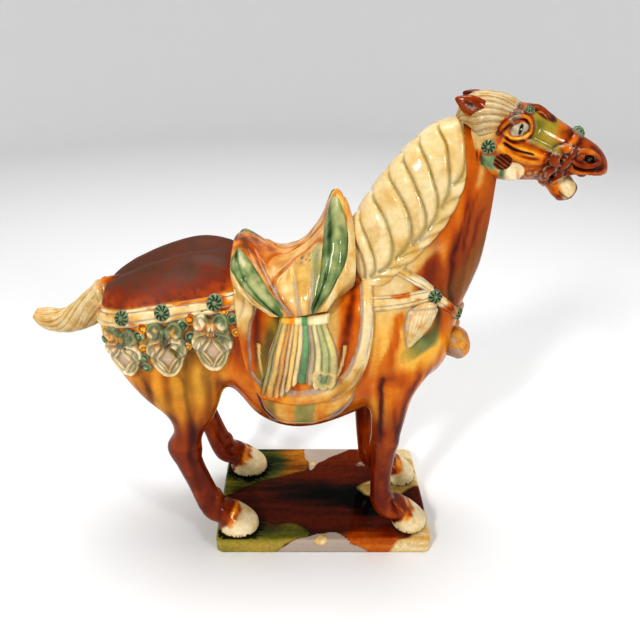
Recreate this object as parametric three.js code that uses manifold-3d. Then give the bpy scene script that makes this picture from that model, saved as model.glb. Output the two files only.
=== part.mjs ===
// A glazed pottery horse with saddle, cloths and harness, standing on a rectangular slab.
// Millimetres, +Z up, +X towards the horse's head. The viewer's side, the near side, is -Y.
// The origin is the centre of the slab's underside.

import * as THREE from "three";
import { mergeVertices } from "three/addons/utils/BufferGeometryUtils.js";
import Module from "manifold-3d";

const wasm = await Module();
wasm.setup();

// Driving dimensions
const HORSE_HEIGHT = 436; // soles of the hooves to the top of the forelock
const SLAB_THICKNESS = 18;
const SLAB_MARGIN_FRONT = 5.5; // slab left bare in front of the fore toes
const SLAB_MARGIN_BACK = 3.5; // and behind the hind heels
const SLAB_MARGIN_NEAR = 4; // and outside the near hooves
const SLAB_MARGIN_FAR = 18; // and outside the far hooves
const SLAB_CORNER = 4; // corner radius in plan
const SLAB_EDGE = 2; // rounding of the top edge

// Depths and widths of the carving
const ROOT_DEPTH = 4; // how far a carved layer reaches into the clay below it
const BLANKET_RELIEF = 5;
const PANEL_RELIEF = 2.6;
const UNDERCLOTH_RELIEF = 2;
const SEAT_EDGE = 1.5; // how proud the seat stands of the saddle's own form
const DRAPE_RELIEF = 6;
const FOLD_RELIEF = 2.4;
const TIE_RELIEF = 8.5;
const LEAF_RELIEF = 5;
const LEAF_HALF_WIDTH = 7;
const LOCK_RELIEF = 5;
const LOCK_GROOVE = 1.6;
const STRAP_RELIEF = 3;
const STRAP_WIDTH = 10;
const STUD_RADIUS = 7.5;
const STUD_RELIEF = 4.5;
const PLAQUE_HALF_WIDTH = 17;
const PLAQUE_HALF_HEIGHT = 25;
const PLAQUE_RELIEF = 4;
const PENDANT_RELIEF = 7;
const PENDANT_EDGE = 2.2;
const HAIR_FLUTE = 0.04; // combed hair stands in and out by this share of its thickness

// Counts of what repeats
const LOCK_COUNT = 9;
const FOLD_COUNT = 6;
const PETAL_COUNT = 4;
const SCALLOP_COUNT = 5;
const PLAQUE_SIDES = 10;
const HOOF_SIDES = 12;

const NEAR = -1;
const FAR = 1;
const SIDES = [NEAR, FAR];
const UPRIGHT = new THREE.Vector3(0, 0, 1);

// Stations of the figure: x, y, z of the centre, direction of travel in degrees from +X towards +Z,
// half-width, half-height above and below the centre, squareness (1 is an ellipse), crease on top.
const TRUNK = [
  [-203, 0, 250, 0, 8, 10, 12, 1, 0],
  [-197, 0, 249, 0, 31, 28, 38, 1, 4],
  [-178, 0, 246, 0, 44, 46, 51, 0.95, 11],
  [-148, 0, 243, 0, 51, 64, 58, 0.92, 15],
  [-115, 0, 238, 0, 54, 78, 62, 0.9, 14],
  [-88, 0, 234, 0, 55, 76, 68, 0.88, 6],
  [-66, 0, 229, 0, 56, 66, 95, 0.85, 0],
  [-40, 0, 227, 0, 58, 62, 108, 0.85, 0],
  [-10, 0, 226, 0, 58, 62, 107, 0.85, 0],
  [25, 0, 228, 0, 56, 66, 95, 0.88, 0],
  [60, 0, 232, 0, 50, 62, 76, 0.9, 0],
  [92, 0, 231, 0, 43, 50, 60, 0.95, 0],
  [110, 0, 229, 0, 33, 38, 42, 1, 0],
  [120, 0, 226, 0, 10, 12, 14, 1, 0],
];
const NECK = [
  [38, 0, 240, 55, 36, 52, 62, 0.9],
  [60, 0, 268, 52, 38, 60, 64, 0.9],
  [73, 0, 293, 51, 36, 62, 65, 0.9],
  [89, 0, 326, 49, 31, 59, 60, 0.9],
  [103, 0, 358, 49, 27, 50, 52, 0.9],
  [115, 0, 379, 48, 23, 42, 44, 0.95],
  [122, 0, 391, 45, 20, 31, 37, 1],
  [126, 0, 400, 40, 14, 20, 24, 1],
];
const HEAD = [
  [106, 0, 402, -15, 6, 8, 8, 1],
  [112, 0, 402, -15, 17, 18, 22, 1],
  [128, 0, 403, -16, 24, 28, 34, 0.95],
  [150, 0, 399, -17, 25, 30, 32, 0.95],
  [170, 0, 390, -22, 21, 26, 23, 0.95],
  [184, 0, 385, -30, 17.5, 23, 16, 0.95],
  [197, 0, 381, -36, 16.5, 20, 12, 0.95],
  [208, 0, 377, -40, 14, 14, 10, 0.95],
  [215, 0, 373, -42, 7, 7, 6, 1],
];
const JAW = [
  [140, 0, 386, -12, 14, 14, 14, 1],
  [158, 0, 380, -12, 13, 12, 10, 1],
  [172, 0, 375, -20, 11, 9, 7, 1],
  [184, 0, 368, -42, 10, 8, 8, 1],
  [192, 0, 361, -60, 10, 10, 9, 1],
  [193, 0, 355, -75, 6, 6, 6, 1],
];
const TAIL = [
  [-178, 0, 270, 200, 10, 10, 10, 1],
  [-195, 0, 264, 207, 12, 15, 14, 1],
  [-210, 0, 252, 212, 13, 16, 16, 1],
  [-226, 0, 240, 210, 12.5, 15, 15, 1],
  [-240, 0, 233, 200, 12, 13, 13, 1],
  [-252, 0, 231, 180, 11, 12, 12, 1],
  [-264, 0, 234, 160, 10, 11, 11, 1],
  [-274, 0, 239, 150, 6, 7, 7, 1],
];
const FORELOCK = [
  [101, 0, 409, 20, 7, 6, 8, 1],
  [108, 0, 411, 18, 20, 18, 24, 1],
  [118, 0, 412, 8, 26, 24, 28, 1],
  [132, 0, 412, -5, 26, 23, 26, 1],
  [144, 0, 410, -25, 20, 17, 18, 1],
  [151, 0, 407, -30, 8, 7, 8, 1],
];
const SADDLE = [
  [-86, 0, 256, 0, 58, 50, 10, 1],
  [-80, 0, 256, 0, 60, 57, 10, 1],
  [-72, 0, 256, 0, 61, 58, 10, 1],
  [-55, 0, 256, 0, 62, 49, 10, 1],
  [-38, 0, 256, 0, 62, 44.5, 10, 1],
  [-20, 0, 256, 0, 62, 53, 10, 1.02],
  [-6, 0, 256, 0, 61, 74, 10, 1.12],
  [4, 0, 256, 0, 60, 98, 10, 1.3],
  [12, 0, 256, 0, 59, 96, 10, 1.3],
  [22, 0, 256, 0, 57, 76, 10, 1.2],
];

// Every place on the figure is drawn for the height that the forelock reaches in its table, and is
// scaled with the horse's own height.
const DRAWN_HEIGHT = Math.max(...FORELOCK.map(([, , z, , , above]) => z + above));
const SHARE = HORSE_HEIGHT / DRAWN_HEIGHT;

// The legs stand apart from each other, so each takes its own foot: the hoof's place, half-length and
// half-width, and lean, which carries the shin forwards.
const FEET = {
  nearFore: { side: NEAR, x: 92, y: -36, lean: 0, length: 18.5, width: 17.5 },
  farFore: { side: FAR, x: 91, y: 33, lean: -11, length: 18.5, width: 17.5 },
  nearHind: { side: NEAR, x: -92, y: -41, lean: 0, length: 22, width: 17.5 },
  farHind: { side: FAR, x: -88, y: 48, lean: 1, length: 22, width: 18 },
};

const foreLeg = ({ side, y, lean }) => [
  [74, side * 26, 232, -93, 20, 32, 34, 1],
  [68, side * 32, 200, -95, 20, 26, 28, 1],
  [63, side * 34, 170, -95, 16.5, 19, 21, 1],
  [60.5 + lean, y, 140, -92, 13, 16, 16, 1],
  [60 + lean, y, 113, -90, 13, 12.5, 14, 1],
  [59 + lean, y, 92, -90, 11, 11.5, 11, 1],
  [59 + lean * 0.8, y, 65, -88, 9.5, 10, 10.5, 1],
  [61 + lean * 0.6, y, 43, -80, 11, 10.5, 11.5, 1],
  [67 + lean * 0.4, y, 28, -60, 13, 11, 14, 1],
  [80 + lean * 0.2, y, 22, -35, 13.5, 11, 13, 1],
  [88, y, 20, -25, 8, 6, 8, 1],
];

const hindLeg = ({ side, y, lean }) => [
  [-146, side * 20, 280, -90, 18, 28, 28, 1],
  [-148, side * 25, 260, -90, 28, 42, 48, 1],
  [-147, side * 27, 234, -88, 30, 48, 54, 1],
  [-140, side * 30, 206, -82, 26, 47, 52, 1],
  [-134, side * 36, 178, -80, 21, 39, 38, 1],
  [-131, y * 0.96, 153, -90, 16, 26, 21, 1],
  [-134, y, 132, -98, 13, 16, 15, 1],
  [-138, y, 112, -88, 13, 16, 17, 1],
  [-136 + lean * 0.3, y, 92, -74, 11.5, 14, 15, 1],
  [-130 + lean * 0.6, y, 68, -68, 10.5, 14, 15, 1],
  [-121 + lean, y, 44, -62, 11.5, 15, 18, 1],
  [-111 + lean, y, 28, -50, 13.5, 14, 19, 1],
  [-98 + lean, y, 22, -35, 13.5, 12, 13, 1],
  [-91 + lean, y, 20, -25, 8, 6, 8, 1],
];

// Hoof from the sole up: shift in x, height, tilt, and width and length as shares of the foot's own
const SOLE = 0.9;
const SOLE_SHIFT = 1;
const HOOF = [
  [SOLE_SHIFT, 0, 0, SOLE, SOLE],
  [SOLE_SHIFT, 2.5, 0, 1, 1],
  [0, 12, 2, 1, 0.98],
  [-5, 24, 18, 0.9, 0.84],
  [-11, 33, 33, 0.58, 0.52],
];

// The head turns a little to the near side, about the poll. The far ear is pricked further forward.
const HEAD_TURN = 15;
const POLL_X = 118;
const EAR_LEAD = { [NEAR]: 0, [FAR]: 5 };
const ear = (side) => [
  [124 + EAR_LEAD[side], side * 13, 416, 150, 7, 9, 9, 1],
  [114 + EAR_LEAD[side], side * 15, 423, 152, 7, 9, 9, 1],
  [106 + EAR_LEAD[side], side * 17, 427, 156, 5.5, 7.5, 7.5, 1],
  [98 + EAR_LEAD[side], side * 18, 430, 162, 1.5, 2, 2, 1],
];

// Rounded details of the head: place, half-sizes along, across and up, and tilt down towards the nose
const PAIRED_DETAILS = {
  lids: { at: [146, 20, 410], half: [13, 6.5, 8], tilt: 22, sides: 8 },
  cheekBone: { at: [158, 19, 395], half: [22, 7, 5], tilt: 22, sides: 6 },
  nostril: { at: [200, 11, 386], half: [12, 8, 9], tilt: 38, sides: 8 },
  throatStud: { at: [128, 22, 397], half: [7, 6, 7], tilt: 0, sides: 6 },
  throatBulb: { at: [153, 15, 380], half: [12, 8, 9], tilt: 20, sides: 6 },
  bitBar: { at: [180, 15, 384], half: [5, 6, 15], tilt: -22, sides: 6 },
};
const MIDDLE_DETAILS = {
  browStud: { at: [152, 0, 422], half: [8, 9, 6], tilt: 22, sides: 6 },
  noseStud: { at: [190, 0, 402], half: [9, 9, 7], tilt: 38, sides: 6 },
};

// Edges of the cloths and the seat: x by the angle down from the top of the back, as far as the hem.
const BLANKET = {
  back: [[0, -84], [45, -80], [85, -76], [104, -68], [113, -58]],
  front: [[0, 36], [80, 38], [95, 35], [106, 26], [113, 10]],
  hem: 113,
};
const UNDERCLOTH = {
  back: [[0, -70], [105, -66], [128, -60], [138, -50]],
  front: [[0, 30], [105, 30], [125, 22], [138, 4]],
  hem: 138,
};
const SEAT = {
  back: [[0, -84], [40, -83], [60, -80], [72, -70], [80, -54], [86, -45]],
  front: [[0, 16], [30, 20], [60, 21], [72, 17], [80, 4], [86, -4]],
  hem: 86,
};
// The drape fans out from the tie: x of its edges and the angle down from the back, at top and bottom
const DRAPE = { back: [-41, -62], front: [-2, 9], angle: [55, 112] };
const TIE = { back: [-44, -44], front: [1, 1], angle: [49, 58] };

// Leaf-shaped cushions of the saddle: angles of the ends, and x by the share of the way down
const LEAVES = [
  { angle: [12, 82], line: [[0, 3], [0.4, 7], [0.7, 2], [1, -12]] },
  { angle: [30, 82], line: [[0, -78], [0.5, -66], [1, -43]] },
];

// Locks of the mane by their count from the poll: where on the neck they start, counted in its rows,
// how far they drift down it, and the angle that they reach round it
const crestAt = (lock) => 6.75 - 0.57 * lock;
const sweepAt = (lock) => 1.9 - 0.13 * lock;
const LOCK_REACH = [[0, 76], [2, 92], [5, 92], [7, 82], [9, 64]];
const LOCK_FLICK = 1.4; // how far the last quarter of a lock is flicked down the neck

// Belt lines run along the side and then turn round an end of the horse. s below 0 is millimetres
// along the side, s above 0 is degrees round the end, and a line is a list of [s, z].
const CHEST_TURN = 80; // x where the side ends at the chest
const RUMP_TURN = -150; // and at the rump
const MIDDLE = 90.5; // just past the middle of the end, so that the two sides join
const BREAST_STRAP = [[-46, 272], [-20, 274], [0, 275], [16, 275], [36, 262], [56, 250], [MIDDLE, 246]];
const NECK_STRAP = [[-24, 300], [14, 279]];
const CRUPPER = [[-74, 271], [-16, 267], [10, 262], [30, 260], [60, 256], [MIDDLE, 252]];

// What hangs on the belts. perUnit is how many millimetres of skin one unit of s takes up there.
const BREAST_STUDS = [
  { s: 16, z: 275, perUnit: 0.62, radius: 6.5 },
  { s: 56, z: 250, perUnit: 0.6, radius: 5.5 },
];
const CRUPPER_STUDS = [
  { s: -55, z: 271, perUnit: 1, radius: STUD_RADIUS },
  { s: -10, z: 266, perUnit: 1, radius: STUD_RADIUS },
  { s: 26, z: 260, perUnit: 0.9, radius: STUD_RADIUS },
];
const PLAQUES = [
  { s: -51, z: 234, perUnit: 1 },
  { s: -11, z: 228, perUnit: 1 },
  { s: 27, z: 226, perUnit: 0.9 },
];
// sweep is how far a pendant's tip hangs back, and stand how far it stands off the skin
const PENDANTS = [
  { s: 4, z: 271, perUnit: 0.8, halfWidth: 13, length: 36, sweep: 12, stand: 0 },
  { s: 58, z: 234, perUnit: 0.6, halfWidth: 12, length: 30, sweep: -3, stand: 12 },
];

const { degToRad } = THREE.MathUtils;
const steps = (from, to, count) =>
  Array.from({ length: count + 1 }, (_, i) => from + ((to - from) * i) / count);
const mirrored = (list) => [...list.map((v) => -v).reverse(), ...list];
const mirroredAboutZero = (list) => [...list.map((v) => -v).reverse(), 0, ...list];
const between = ([from, to], share) => from + (to - from) * share;
const joined = (pieces) => pieces.reduce((sum, piece) => sum.add(piece));

// Value at t along a list of [t, value] pairs, straight between them
function along(pairs, t) {
  const after = pairs.findIndex(([at]) => at >= t);
  if (after === 0) return pairs[0][1];
  if (after < 0) return pairs[pairs.length - 1][1];
  const [t0, v0] = pairs[after - 1];
  const [t1, v1] = pairs[after];
  return v0 + ((v1 - v0) * (t - t0)) / (t1 - t0);
}

// Station between two rows of a table, by a Catmull-Rom curve. t counts rows.
function stationAt(rows, t) {
  const i = Math.min(Math.floor(Math.max(t, 0)), rows.length - 2);
  const f = t - i;
  const [p, q, r, s] = [i - 1, i, i + 1, i + 2].map((k) => rows[Math.min(Math.max(k, 0), rows.length - 1)]);
  return q.map((_, k) => {
    const slopeIn = (r[k] - p[k]) / 2;
    const slopeOut = (s[k] - q[k]) / 2;
    const bend = 3 * (r[k] - q[k]) - 2 * slopeIn - slopeOut;
    const twist = slopeIn + slopeOut - 2 * (r[k] - q[k]);
    return q[k] + slopeIn * f + bend * f * f + twist * f * f * f;
  });
}

// The same, found by x, for tables that run along the horse
const HALVINGS = 24;
function stationAtX(rows, x) {
  let low = 0;
  let high = rows.length - 1;
  for (let i = 0; i < HALVINGS; i += 1) {
    const middle = (low + high) / 2;
    if (stationAt(rows, middle)[0] < x) low = middle;
    else high = middle;
  }
  return stationAt(rows, low);
}

// Point on the skin around a station. angle is 0 on top, 90 on the near side, -90 on the far side.
const CREASE_WIDTH = 0.33; // as a share of the half-width
function pointAround(station, angle, height = 0, flute = 0) {
  const [x, y, z, direction, width, above, below, squareness, crease = 0] = station;
  const power = (value) => Math.sign(value) * Math.abs(value) ** squareness;
  const side = power(Math.sin(degToRad(angle)));
  const rise = power(Math.cos(degToRad(angle)));
  const swell = (1 + flute) * SHARE;
  const lateral = -(width * swell + height) * side;
  const dip = rise > 0 ? crease * SHARE * Math.exp(-((side / CREASE_WIDTH) ** 2)) : 0;
  const up = ((rise > 0 ? above : below) * swell + height) * rise - dip;
  const tilt = degToRad(direction);
  return new THREE.Vector3(
    x * SHARE - up * Math.sin(tilt),
    y * SHARE + lateral,
    z * SHARE + up * Math.cos(tilt)
  );
}

// Point of the head, turned about the upright line through the poll
function turnedHead(point) {
  const poll = new THREE.Vector3(POLL_X * SHARE, 0, 0);
  return point.sub(poll).applyAxisAngle(UPRIGHT, degToRad(-HEAD_TURN)).add(poll);
}

// Closed solid of a geometry, whichever way round its triangles are
function solidOfGeometry(source) {
  const bare = source.clone();
  bare.deleteAttribute("normal");
  bare.deleteAttribute("uv");
  const merged = mergeVertices(bare, 1e-4);
  const make = (order) => {
    const index = Array.from(merged.index.array);
    const triVerts = new Uint32Array(order > 0 ? index : index.reverse());
    const vertProperties = new Float32Array(merged.attributes.position.array);
    return new wasm.Manifold(new wasm.Mesh({ numProp: 3, vertProperties, triVerts }));
  };
  const solid = make(1);
  return solid.volume() > 0 ? solid : make(-1);
}

function solidOf(points, triangles) {
  const geometry = new THREE.BufferGeometry().setFromPoints(points);
  geometry.setIndex(triangles.flat());
  return solidOfGeometry(geometry);
}

function geometryOf(solid) {
  const mesh = solid.getMesh();
  const geometry = new THREE.BufferGeometry();
  const coordinates = new Float32Array(mesh.vertProperties);
  geometry.setAttribute("position", new THREE.BufferAttribute(coordinates, mesh.numProp));
  geometry.setIndex(new THREE.BufferAttribute(new Uint32Array(mesh.triVerts), 1));
  return geometry;
}

// Solid through rings of equally many points, closed by a flat fan at both ends
function stacked(rings) {
  const sides = rings[0].length;
  const triangles = [];
  for (let ring = 0; ring < rings.length - 1; ring += 1) {
    for (let k = 0; k < sides; k += 1) {
      const a = ring * sides + k;
      const b = ring * sides + ((k + 1) % sides);
      triangles.push([a, b, b + sides], [a, b + sides, a + sides]);
    }
  }
  const last = (rings.length - 1) * sides;
  for (let k = 1; k < sides - 1; k += 1) {
    triangles.push([0, k + 1, k], [last, last + k, last + k + 1]);
  }
  return solidOf(rings.flat(), triangles);
}

// Solid through a table of stations. Fluted sides stand in and out by turns, like combed hair.
function loft(rows, ringCount, sides, { flute = 0, pose = (point) => point } = {}) {
  const around = steps(0, 360, sides).slice(0, -1);
  return stacked(
    steps(0, rows.length - 1, ringCount).map((t) => {
      const station = stationAt(rows, t);
      return around.map((angle, k) => pose(pointAround(station, angle, 0, k % 2 ? flute : -flute)));
    })
  );
}

// Layer of clay over the skin. place(u, v, height, buried) gives a point; relief(u, v) is its height.
function layer(place, us, vs, relief) {
  const points = [];
  const triangles = [];
  const columns = vs.length;
  const count = us.length * columns;
  us.forEach((u) => vs.forEach((v) => points.push(place(u, v, relief(u, v), false))));
  us.forEach((u) => vs.forEach((v) => points.push(place(u, v, -ROOT_DEPTH, true))));
  for (let i = 0; i < us.length - 1; i += 1) {
    for (let j = 0; j < columns - 1; j += 1) {
      const a = i * columns + j;
      const [b, c, d] = [a + 1, a + columns + 1, a + columns];
      triangles.push([a, b, c], [a, c, d]);
      triangles.push([a + count, c + count, b + count], [a + count, d + count, c + count]);
    }
  }
  const rim = [];
  for (let j = 0; j < columns - 1; j += 1) rim.push(j);
  for (let i = 0; i < us.length - 1; i += 1) rim.push(i * columns + columns - 1);
  for (let j = columns - 1; j > 0; j -= 1) rim.push((us.length - 1) * columns + j);
  for (let i = us.length - 1; i > 0; i -= 1) rim.push(i * columns);
  rim.forEach((a, k) => {
    const b = rim[(k + 1) % rim.length];
    triangles.push([a, b + count, b], [a, a + count, b + count]);
  });
  return solidOf(points, triangles);
}

// Boss of clay set on the skin: spokes around a centre, rings out to the rim, which is buried.
// land(a, b, height) gives the point that is a to the side of and b above the boss's centre.
function boss(land, spokes, rings, outline, relief) {
  const points = [land(0, 0, relief(0, 0)), land(0, 0, -ROOT_DEPTH)];
  const triangles = [];
  const levels = [...rings, 1];
  levels.forEach((ring, level) => {
    for (let k = 0; k < spokes; k += 1) {
      const [a, b] = outline((2 * Math.PI * k) / spokes);
      const height = level === levels.length - 1 ? -ROOT_DEPTH : relief(ring, k);
      points.push(land(a * ring, b * ring, height));
    }
  });
  const base = 2 + (levels.length - 1) * spokes;
  for (let k = 0; k < spokes; k += 1) {
    const next = (k + 1) % spokes;
    triangles.push([0, 2 + k, 2 + next], [1, base + next, base + k]);
    for (let inner = 2; inner < base; inner += spokes) {
      const outer = inner + spokes;
      triangles.push([inner + k, outer + k, outer + next], [inner + k, outer + next, inner + next]);
    }
  }
  return solidOf(points, triangles);
}

// Hoof: a rounded block with a flat sole at z = 0
function hoof({ x, y, length, width }) {
  const around = steps(0, 2 * Math.PI, HOOF_SIDES).slice(0, -1);
  return stacked(
    HOOF.map(([shift, z, tilt, wide, long]) =>
      around.map((turn) => {
        const reach = Math.cos(turn) * length * long;
        return new THREE.Vector3(
          x + shift + reach * Math.cos(degToRad(tilt)),
          y + Math.sin(turn) * width * wide,
          z - reach * Math.sin(degToRad(tilt))
        ).multiplyScalar(SHARE);
      })
    )
  );
}

// The bare animal, without its tail and tack
function bareHorse() {
  const pieces = [loft(TRUNK, 16, 14), loft(NECK, 8, 14)];
  pieces.push(loft(HEAD, 10, 12, { pose: turnedHead }), loft(JAW, 6, 8, { pose: turnedHead }));
  for (const foot of [FEET.nearFore, FEET.farFore]) pieces.push(loft(foreLeg(foot), 10, 9), hoof(foot));
  for (const foot of [FEET.nearHind, FEET.farHind]) pieces.push(loft(hindLeg(foot), 13, 9), hoof(foot));
  return joined(pieces);
}

// Landing on the skin from outside: a ray finds the surface, and the height is laid off along a
// direction between its normal and the ray's own. bearing 0 looks at the near side, 90 at the chest
// and -90 at the rump.
const OUTSIDE = 300;
const OUTWARD = 0.4;
function skinLander(solid) {
  const skin = new THREE.Mesh(geometryOf(solid), new THREE.MeshStandardMaterial({ side: THREE.DoubleSide }));
  skin.geometry.computeVertexNormals();
  const caster = new THREE.Raycaster();
  return (x, z, bearing, height) => {
    const out = new THREE.Vector3(Math.sin(degToRad(bearing)), -Math.cos(degToRad(bearing)), 0);
    const axis = new THREE.Vector3(x, 0, z).multiplyScalar(SHARE);
    caster.set(axis.addScaledVector(out, OUTSIDE * SHARE), out.clone().negate());
    const [hit] = caster.intersectObject(skin);
    return hit.point.clone().addScaledVector(hit.normal.clone().lerp(out, OUTWARD).normalize(), height);
  };
}

// Place on a belt line. end is +1 for the chest and -1 for the rump.
const beltPlace = (land, turnX, end, side) => (s, z, height) => {
  const point = land(turnX + end * Math.min(s, 0), z, end * Math.max(s, 0), height);
  if (side === FAR) point.y = -point.y;
  return point;
};

// Strap along a belt line, with a raised rib along each edge
const STRAP_PROFILE = [[0, 1], [0.5, 0.4], [1, 1]];
function strap(place, line, count) {
  const ends = [line[0][0], line[line.length - 1][0]];
  const laid = (u, v, height) => {
    const s = between(ends, u);
    return place(s, along(line, s) + ((v - 0.5) * STRAP_WIDTH) / SHARE, height);
  };
  const columns = STRAP_PROFILE.map(([v]) => v);
  return layer(laid, steps(0, 1, count), columns, (u, v) => STRAP_RELIEF * along(STRAP_PROFILE, v));
}

// Flower-shaped stud: petals and gaps by turns
const PETAL_RISE = [0.55, 0.85];
function stud(place, { s, z, perUnit, radius }) {
  const land = (a, b, height) => place(s + a / perUnit, z + b, height);
  const outline = (angle) => [Math.cos(angle) * radius, Math.sin(angle) * radius];
  const relief = (ring, k) => STUD_RELIEF * (ring === 0 ? 1 : PETAL_RISE[k % 2]);
  return boss(land, PETAL_COUNT * 2, [0.97], outline, relief);
}

// Scalloped plaque, narrower below, with a raised rim and a boss in the middle
const SCALLOP_DEPTH = 0.06;
const PLAQUE_TAPER = 0.22;
const PLAQUE_PROFILE = [[0, 1.2], [0.4, 0.55], [0.97, 1]];
function plaque(place, { s, z, perUnit }) {
  const land = (a, b, height) => place(s + a / perUnit, z + b, height);
  const outline = (angle) => {
    const scallop = 1 + SCALLOP_DEPTH * Math.cos(SCALLOP_COUNT * angle + Math.PI / 2);
    const taper = 1 - PLAQUE_TAPER * Math.max(0, -Math.sin(angle));
    return [
      Math.cos(angle) * PLAQUE_HALF_WIDTH * scallop * taper,
      Math.sin(angle) * PLAQUE_HALF_HEIGHT * scallop,
    ];
  };
  const relief = (ring) => along(PLAQUE_PROFILE, ring) * PLAQUE_RELIEF;
  return boss(land, PLAQUE_SIDES, [0.4, 0.97], outline, relief);
}

// Tulip-shaped pendant, its tip down and back
const PENDANT_WIDTH = [[0, 0.62], [0.2, 1], [0.5, 0.8], [0.8, 0.4], [1, 0.12]];
const PENDANT_CROWN = [[0, 0.6], [0.3, 1], [1, 0.35]];
function pendant(place, { s, z, perUnit, halfWidth, length, sweep, stand }) {
  const lie = (u, v, height) => {
    const a = v * halfWidth * along(PENDANT_WIDTH, u) - sweep * u;
    return place(s + a / perUnit, z - u * length, height + Math.sign(height) * stand * u);
  };
  const crown = (u, v) => (1 - v * v) * PENDANT_RELIEF * along(PENDANT_CROWN, u) + PENDANT_EDGE;
  return layer(lie, [0, 0.25, 0.6, 1], [-1, -0.5, 0.5, 1], crown);
}

function harness(land) {
  const pieces = [];
  for (const side of SIDES) {
    const chest = beltPlace(land, CHEST_TURN, 1, side);
    const rump = beltPlace(land, RUMP_TURN, -1, side);
    pieces.push(strap(chest, BREAST_STRAP, 8), strap(chest, NECK_STRAP, 2), strap(rump, CRUPPER, 10));
    pieces.push(...BREAST_STUDS.map((place) => stud(chest, place)));
    pieces.push(...PENDANTS.map((place) => pendant(chest, place)));
    pieces.push(...CRUPPER_STUDS.map((place) => stud(rump, place)));
    pieces.push(...PLAQUES.map((place) => plaque(rump, place)));
  }
  return pieces;
}

// Cloth over the back, from the near hem to the far hem
function cloth({ back, front, hem }, us, vs, relief) {
  const lie = (u, v, height) => {
    const angle = Math.abs(v) * hem;
    const x = between([along(back, angle), along(front, angle)], u);
    return pointAround(stationAtX(TRUNK, x), v * hem, height);
  };
  return layer(lie, us, vs, relief);
}

// The blanket has a raised border around its sunk panels.
const BORDER_BACK = 0.1;
const BORDER_FRONT = 0.87;
const BORDER_HEM = 0.93;
const BEVEL = 0.015;
function cloths() {
  const borders = (u, v) =>
    u < BORDER_BACK || u > BORDER_FRONT || Math.abs(v) > BORDER_HEM ? BLANKET_RELIEF : PANEL_RELIEF;
  const bevelled = (edge) => [edge - BEVEL, edge + BEVEL];
  const us = [0, ...bevelled(BORDER_BACK), 0.35, 0.62, ...bevelled(BORDER_FRONT), 1];
  const vs = mirrored([0.3, 0.55, 0.75, ...bevelled(BORDER_HEM), 1]);
  return [
    cloth(BLANKET, us, vs, borders),
    cloth(UNDERCLOTH, steps(0, 1, 5), mirrored([0.5, 0.8, 1]), () => UNDERCLOTH_RELIEF),
  ];
}

// Cloth knotted up below the seat, falling in folds that deepen downwards
function drapes() {
  const hanging = ({ back, front, angle }, side) => (u, v, height) => {
    const x = between([between(back, v), between(front, v)], u);
    return pointAround(stationAtX(TRUNK, x), -side * between(angle, v), height);
  };
  const folds = (u, v) => {
    const proud = Math.round(u * FOLD_COUNT * 2) % 2;
    return DRAPE_RELIEF + FOLD_RELIEF * proud * between([0.35, 1], v);
  };
  return SIDES.flatMap((side) => [
    layer(hanging(DRAPE, side), steps(0, 1, FOLD_COUNT * 2), [0, 0.5, 1], folds),
    layer(hanging(TIE, side), steps(0, 1, 2), [0, 1], () => TIE_RELIEF),
  ]);
}

// Saddle: the seat is solid down to a core inside the back, and leaf-shaped cushions lie on its ends
const SEAT_CORE = 0.5; // the core's width as a share of the seat's
const SEAT_COLUMNS = [0.16, 0.35, 0.53, 0.7, 0.85, 1]; // shares of the way down to the hem
function saddle() {
  const { back, front, hem } = SEAT;
  const over = (u, v, height, buried) => {
    const angle = v * hem;
    const side = Math.abs(angle);
    const station = stationAtX(SADDLE, between([along(back, side), along(front, side)], u));
    const point = pointAround(station, angle, buried ? 0 : height);
    return buried ? point.set(point.x, point.y * SEAT_CORE, SADDLE[0][2] * SHARE) : point;
  };
  const us = [0, 0.05, 0.2, 0.42, 0.64, 0.82, 0.94, 1];
  const seat = layer(over, us, mirroredAboutZero(SEAT_COLUMNS), (u) => (u === 0 || u === 1 ? 0 : SEAT_EDGE));
  return [seat, ...LEAVES.flatMap((shape) => SIDES.map((side) => leaf(shape, side)))];
}

function leaf({ angle, line }, side) {
  const lie = (u, v, height) => {
    const swell = Math.sin(Math.PI * Math.min(Math.max(u, 0.05), 0.95)) ** 0.7;
    const x = along(line, u) + v * LEAF_HALF_WIDTH * swell;
    return pointAround(stationAtX(SADDLE, x), -side * between(angle, u), height);
  };
  return layer(lie, [0, 0.3, 0.65, 1], [-1, -0.4, 0.4, 1], (u, v) => (Math.abs(v) === 1 ? 1 : LEAF_RELIEF));
}

// Mane: locks that start at the crest and sweep down and forward to flicked tips
const LOCK_COLUMNS = [0, 0.3, 0.7];
const LOCK_TAPER = [[0, 0.8], [0.3, 1], [0.85, 1], [1, 0.45]];
const TIP_STEP = 0.16; // the groove between two locks ends this share short of their tips
function mane() {
  const fromMiddle = (lock) => Math.abs((lock % 1) - 0.5) * 2;
  const lie = (lock, v, height) => {
    const drop = Math.abs(v);
    const reach = along(LOCK_REACH, lock) * (1 - TIP_STEP * fromMiddle(lock) ** 3);
    const t = crestAt(lock) - sweepAt(lock) * drop ** 1.5 - LOCK_FLICK * Math.max(0, drop - 0.75);
    return pointAround(stationAt(NECK, t), v * reach, height);
  };
  const ridge = (lock, v) => {
    const crown = 1 - fromMiddle(lock) ** 2;
    return between([LOCK_GROOVE, LOCK_RELIEF], crown) * along(LOCK_TAPER, Math.abs(v));
  };
  const starts = steps(0, LOCK_COUNT - 1, LOCK_COUNT - 1);
  const locks = starts.flatMap((lock) => LOCK_COLUMNS.map((part) => lock + part));
  return layer(lie, [...locks, LOCK_COUNT], mirroredAboutZero([0.3, 0.6, 0.84, 1]), ridge);
}

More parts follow.
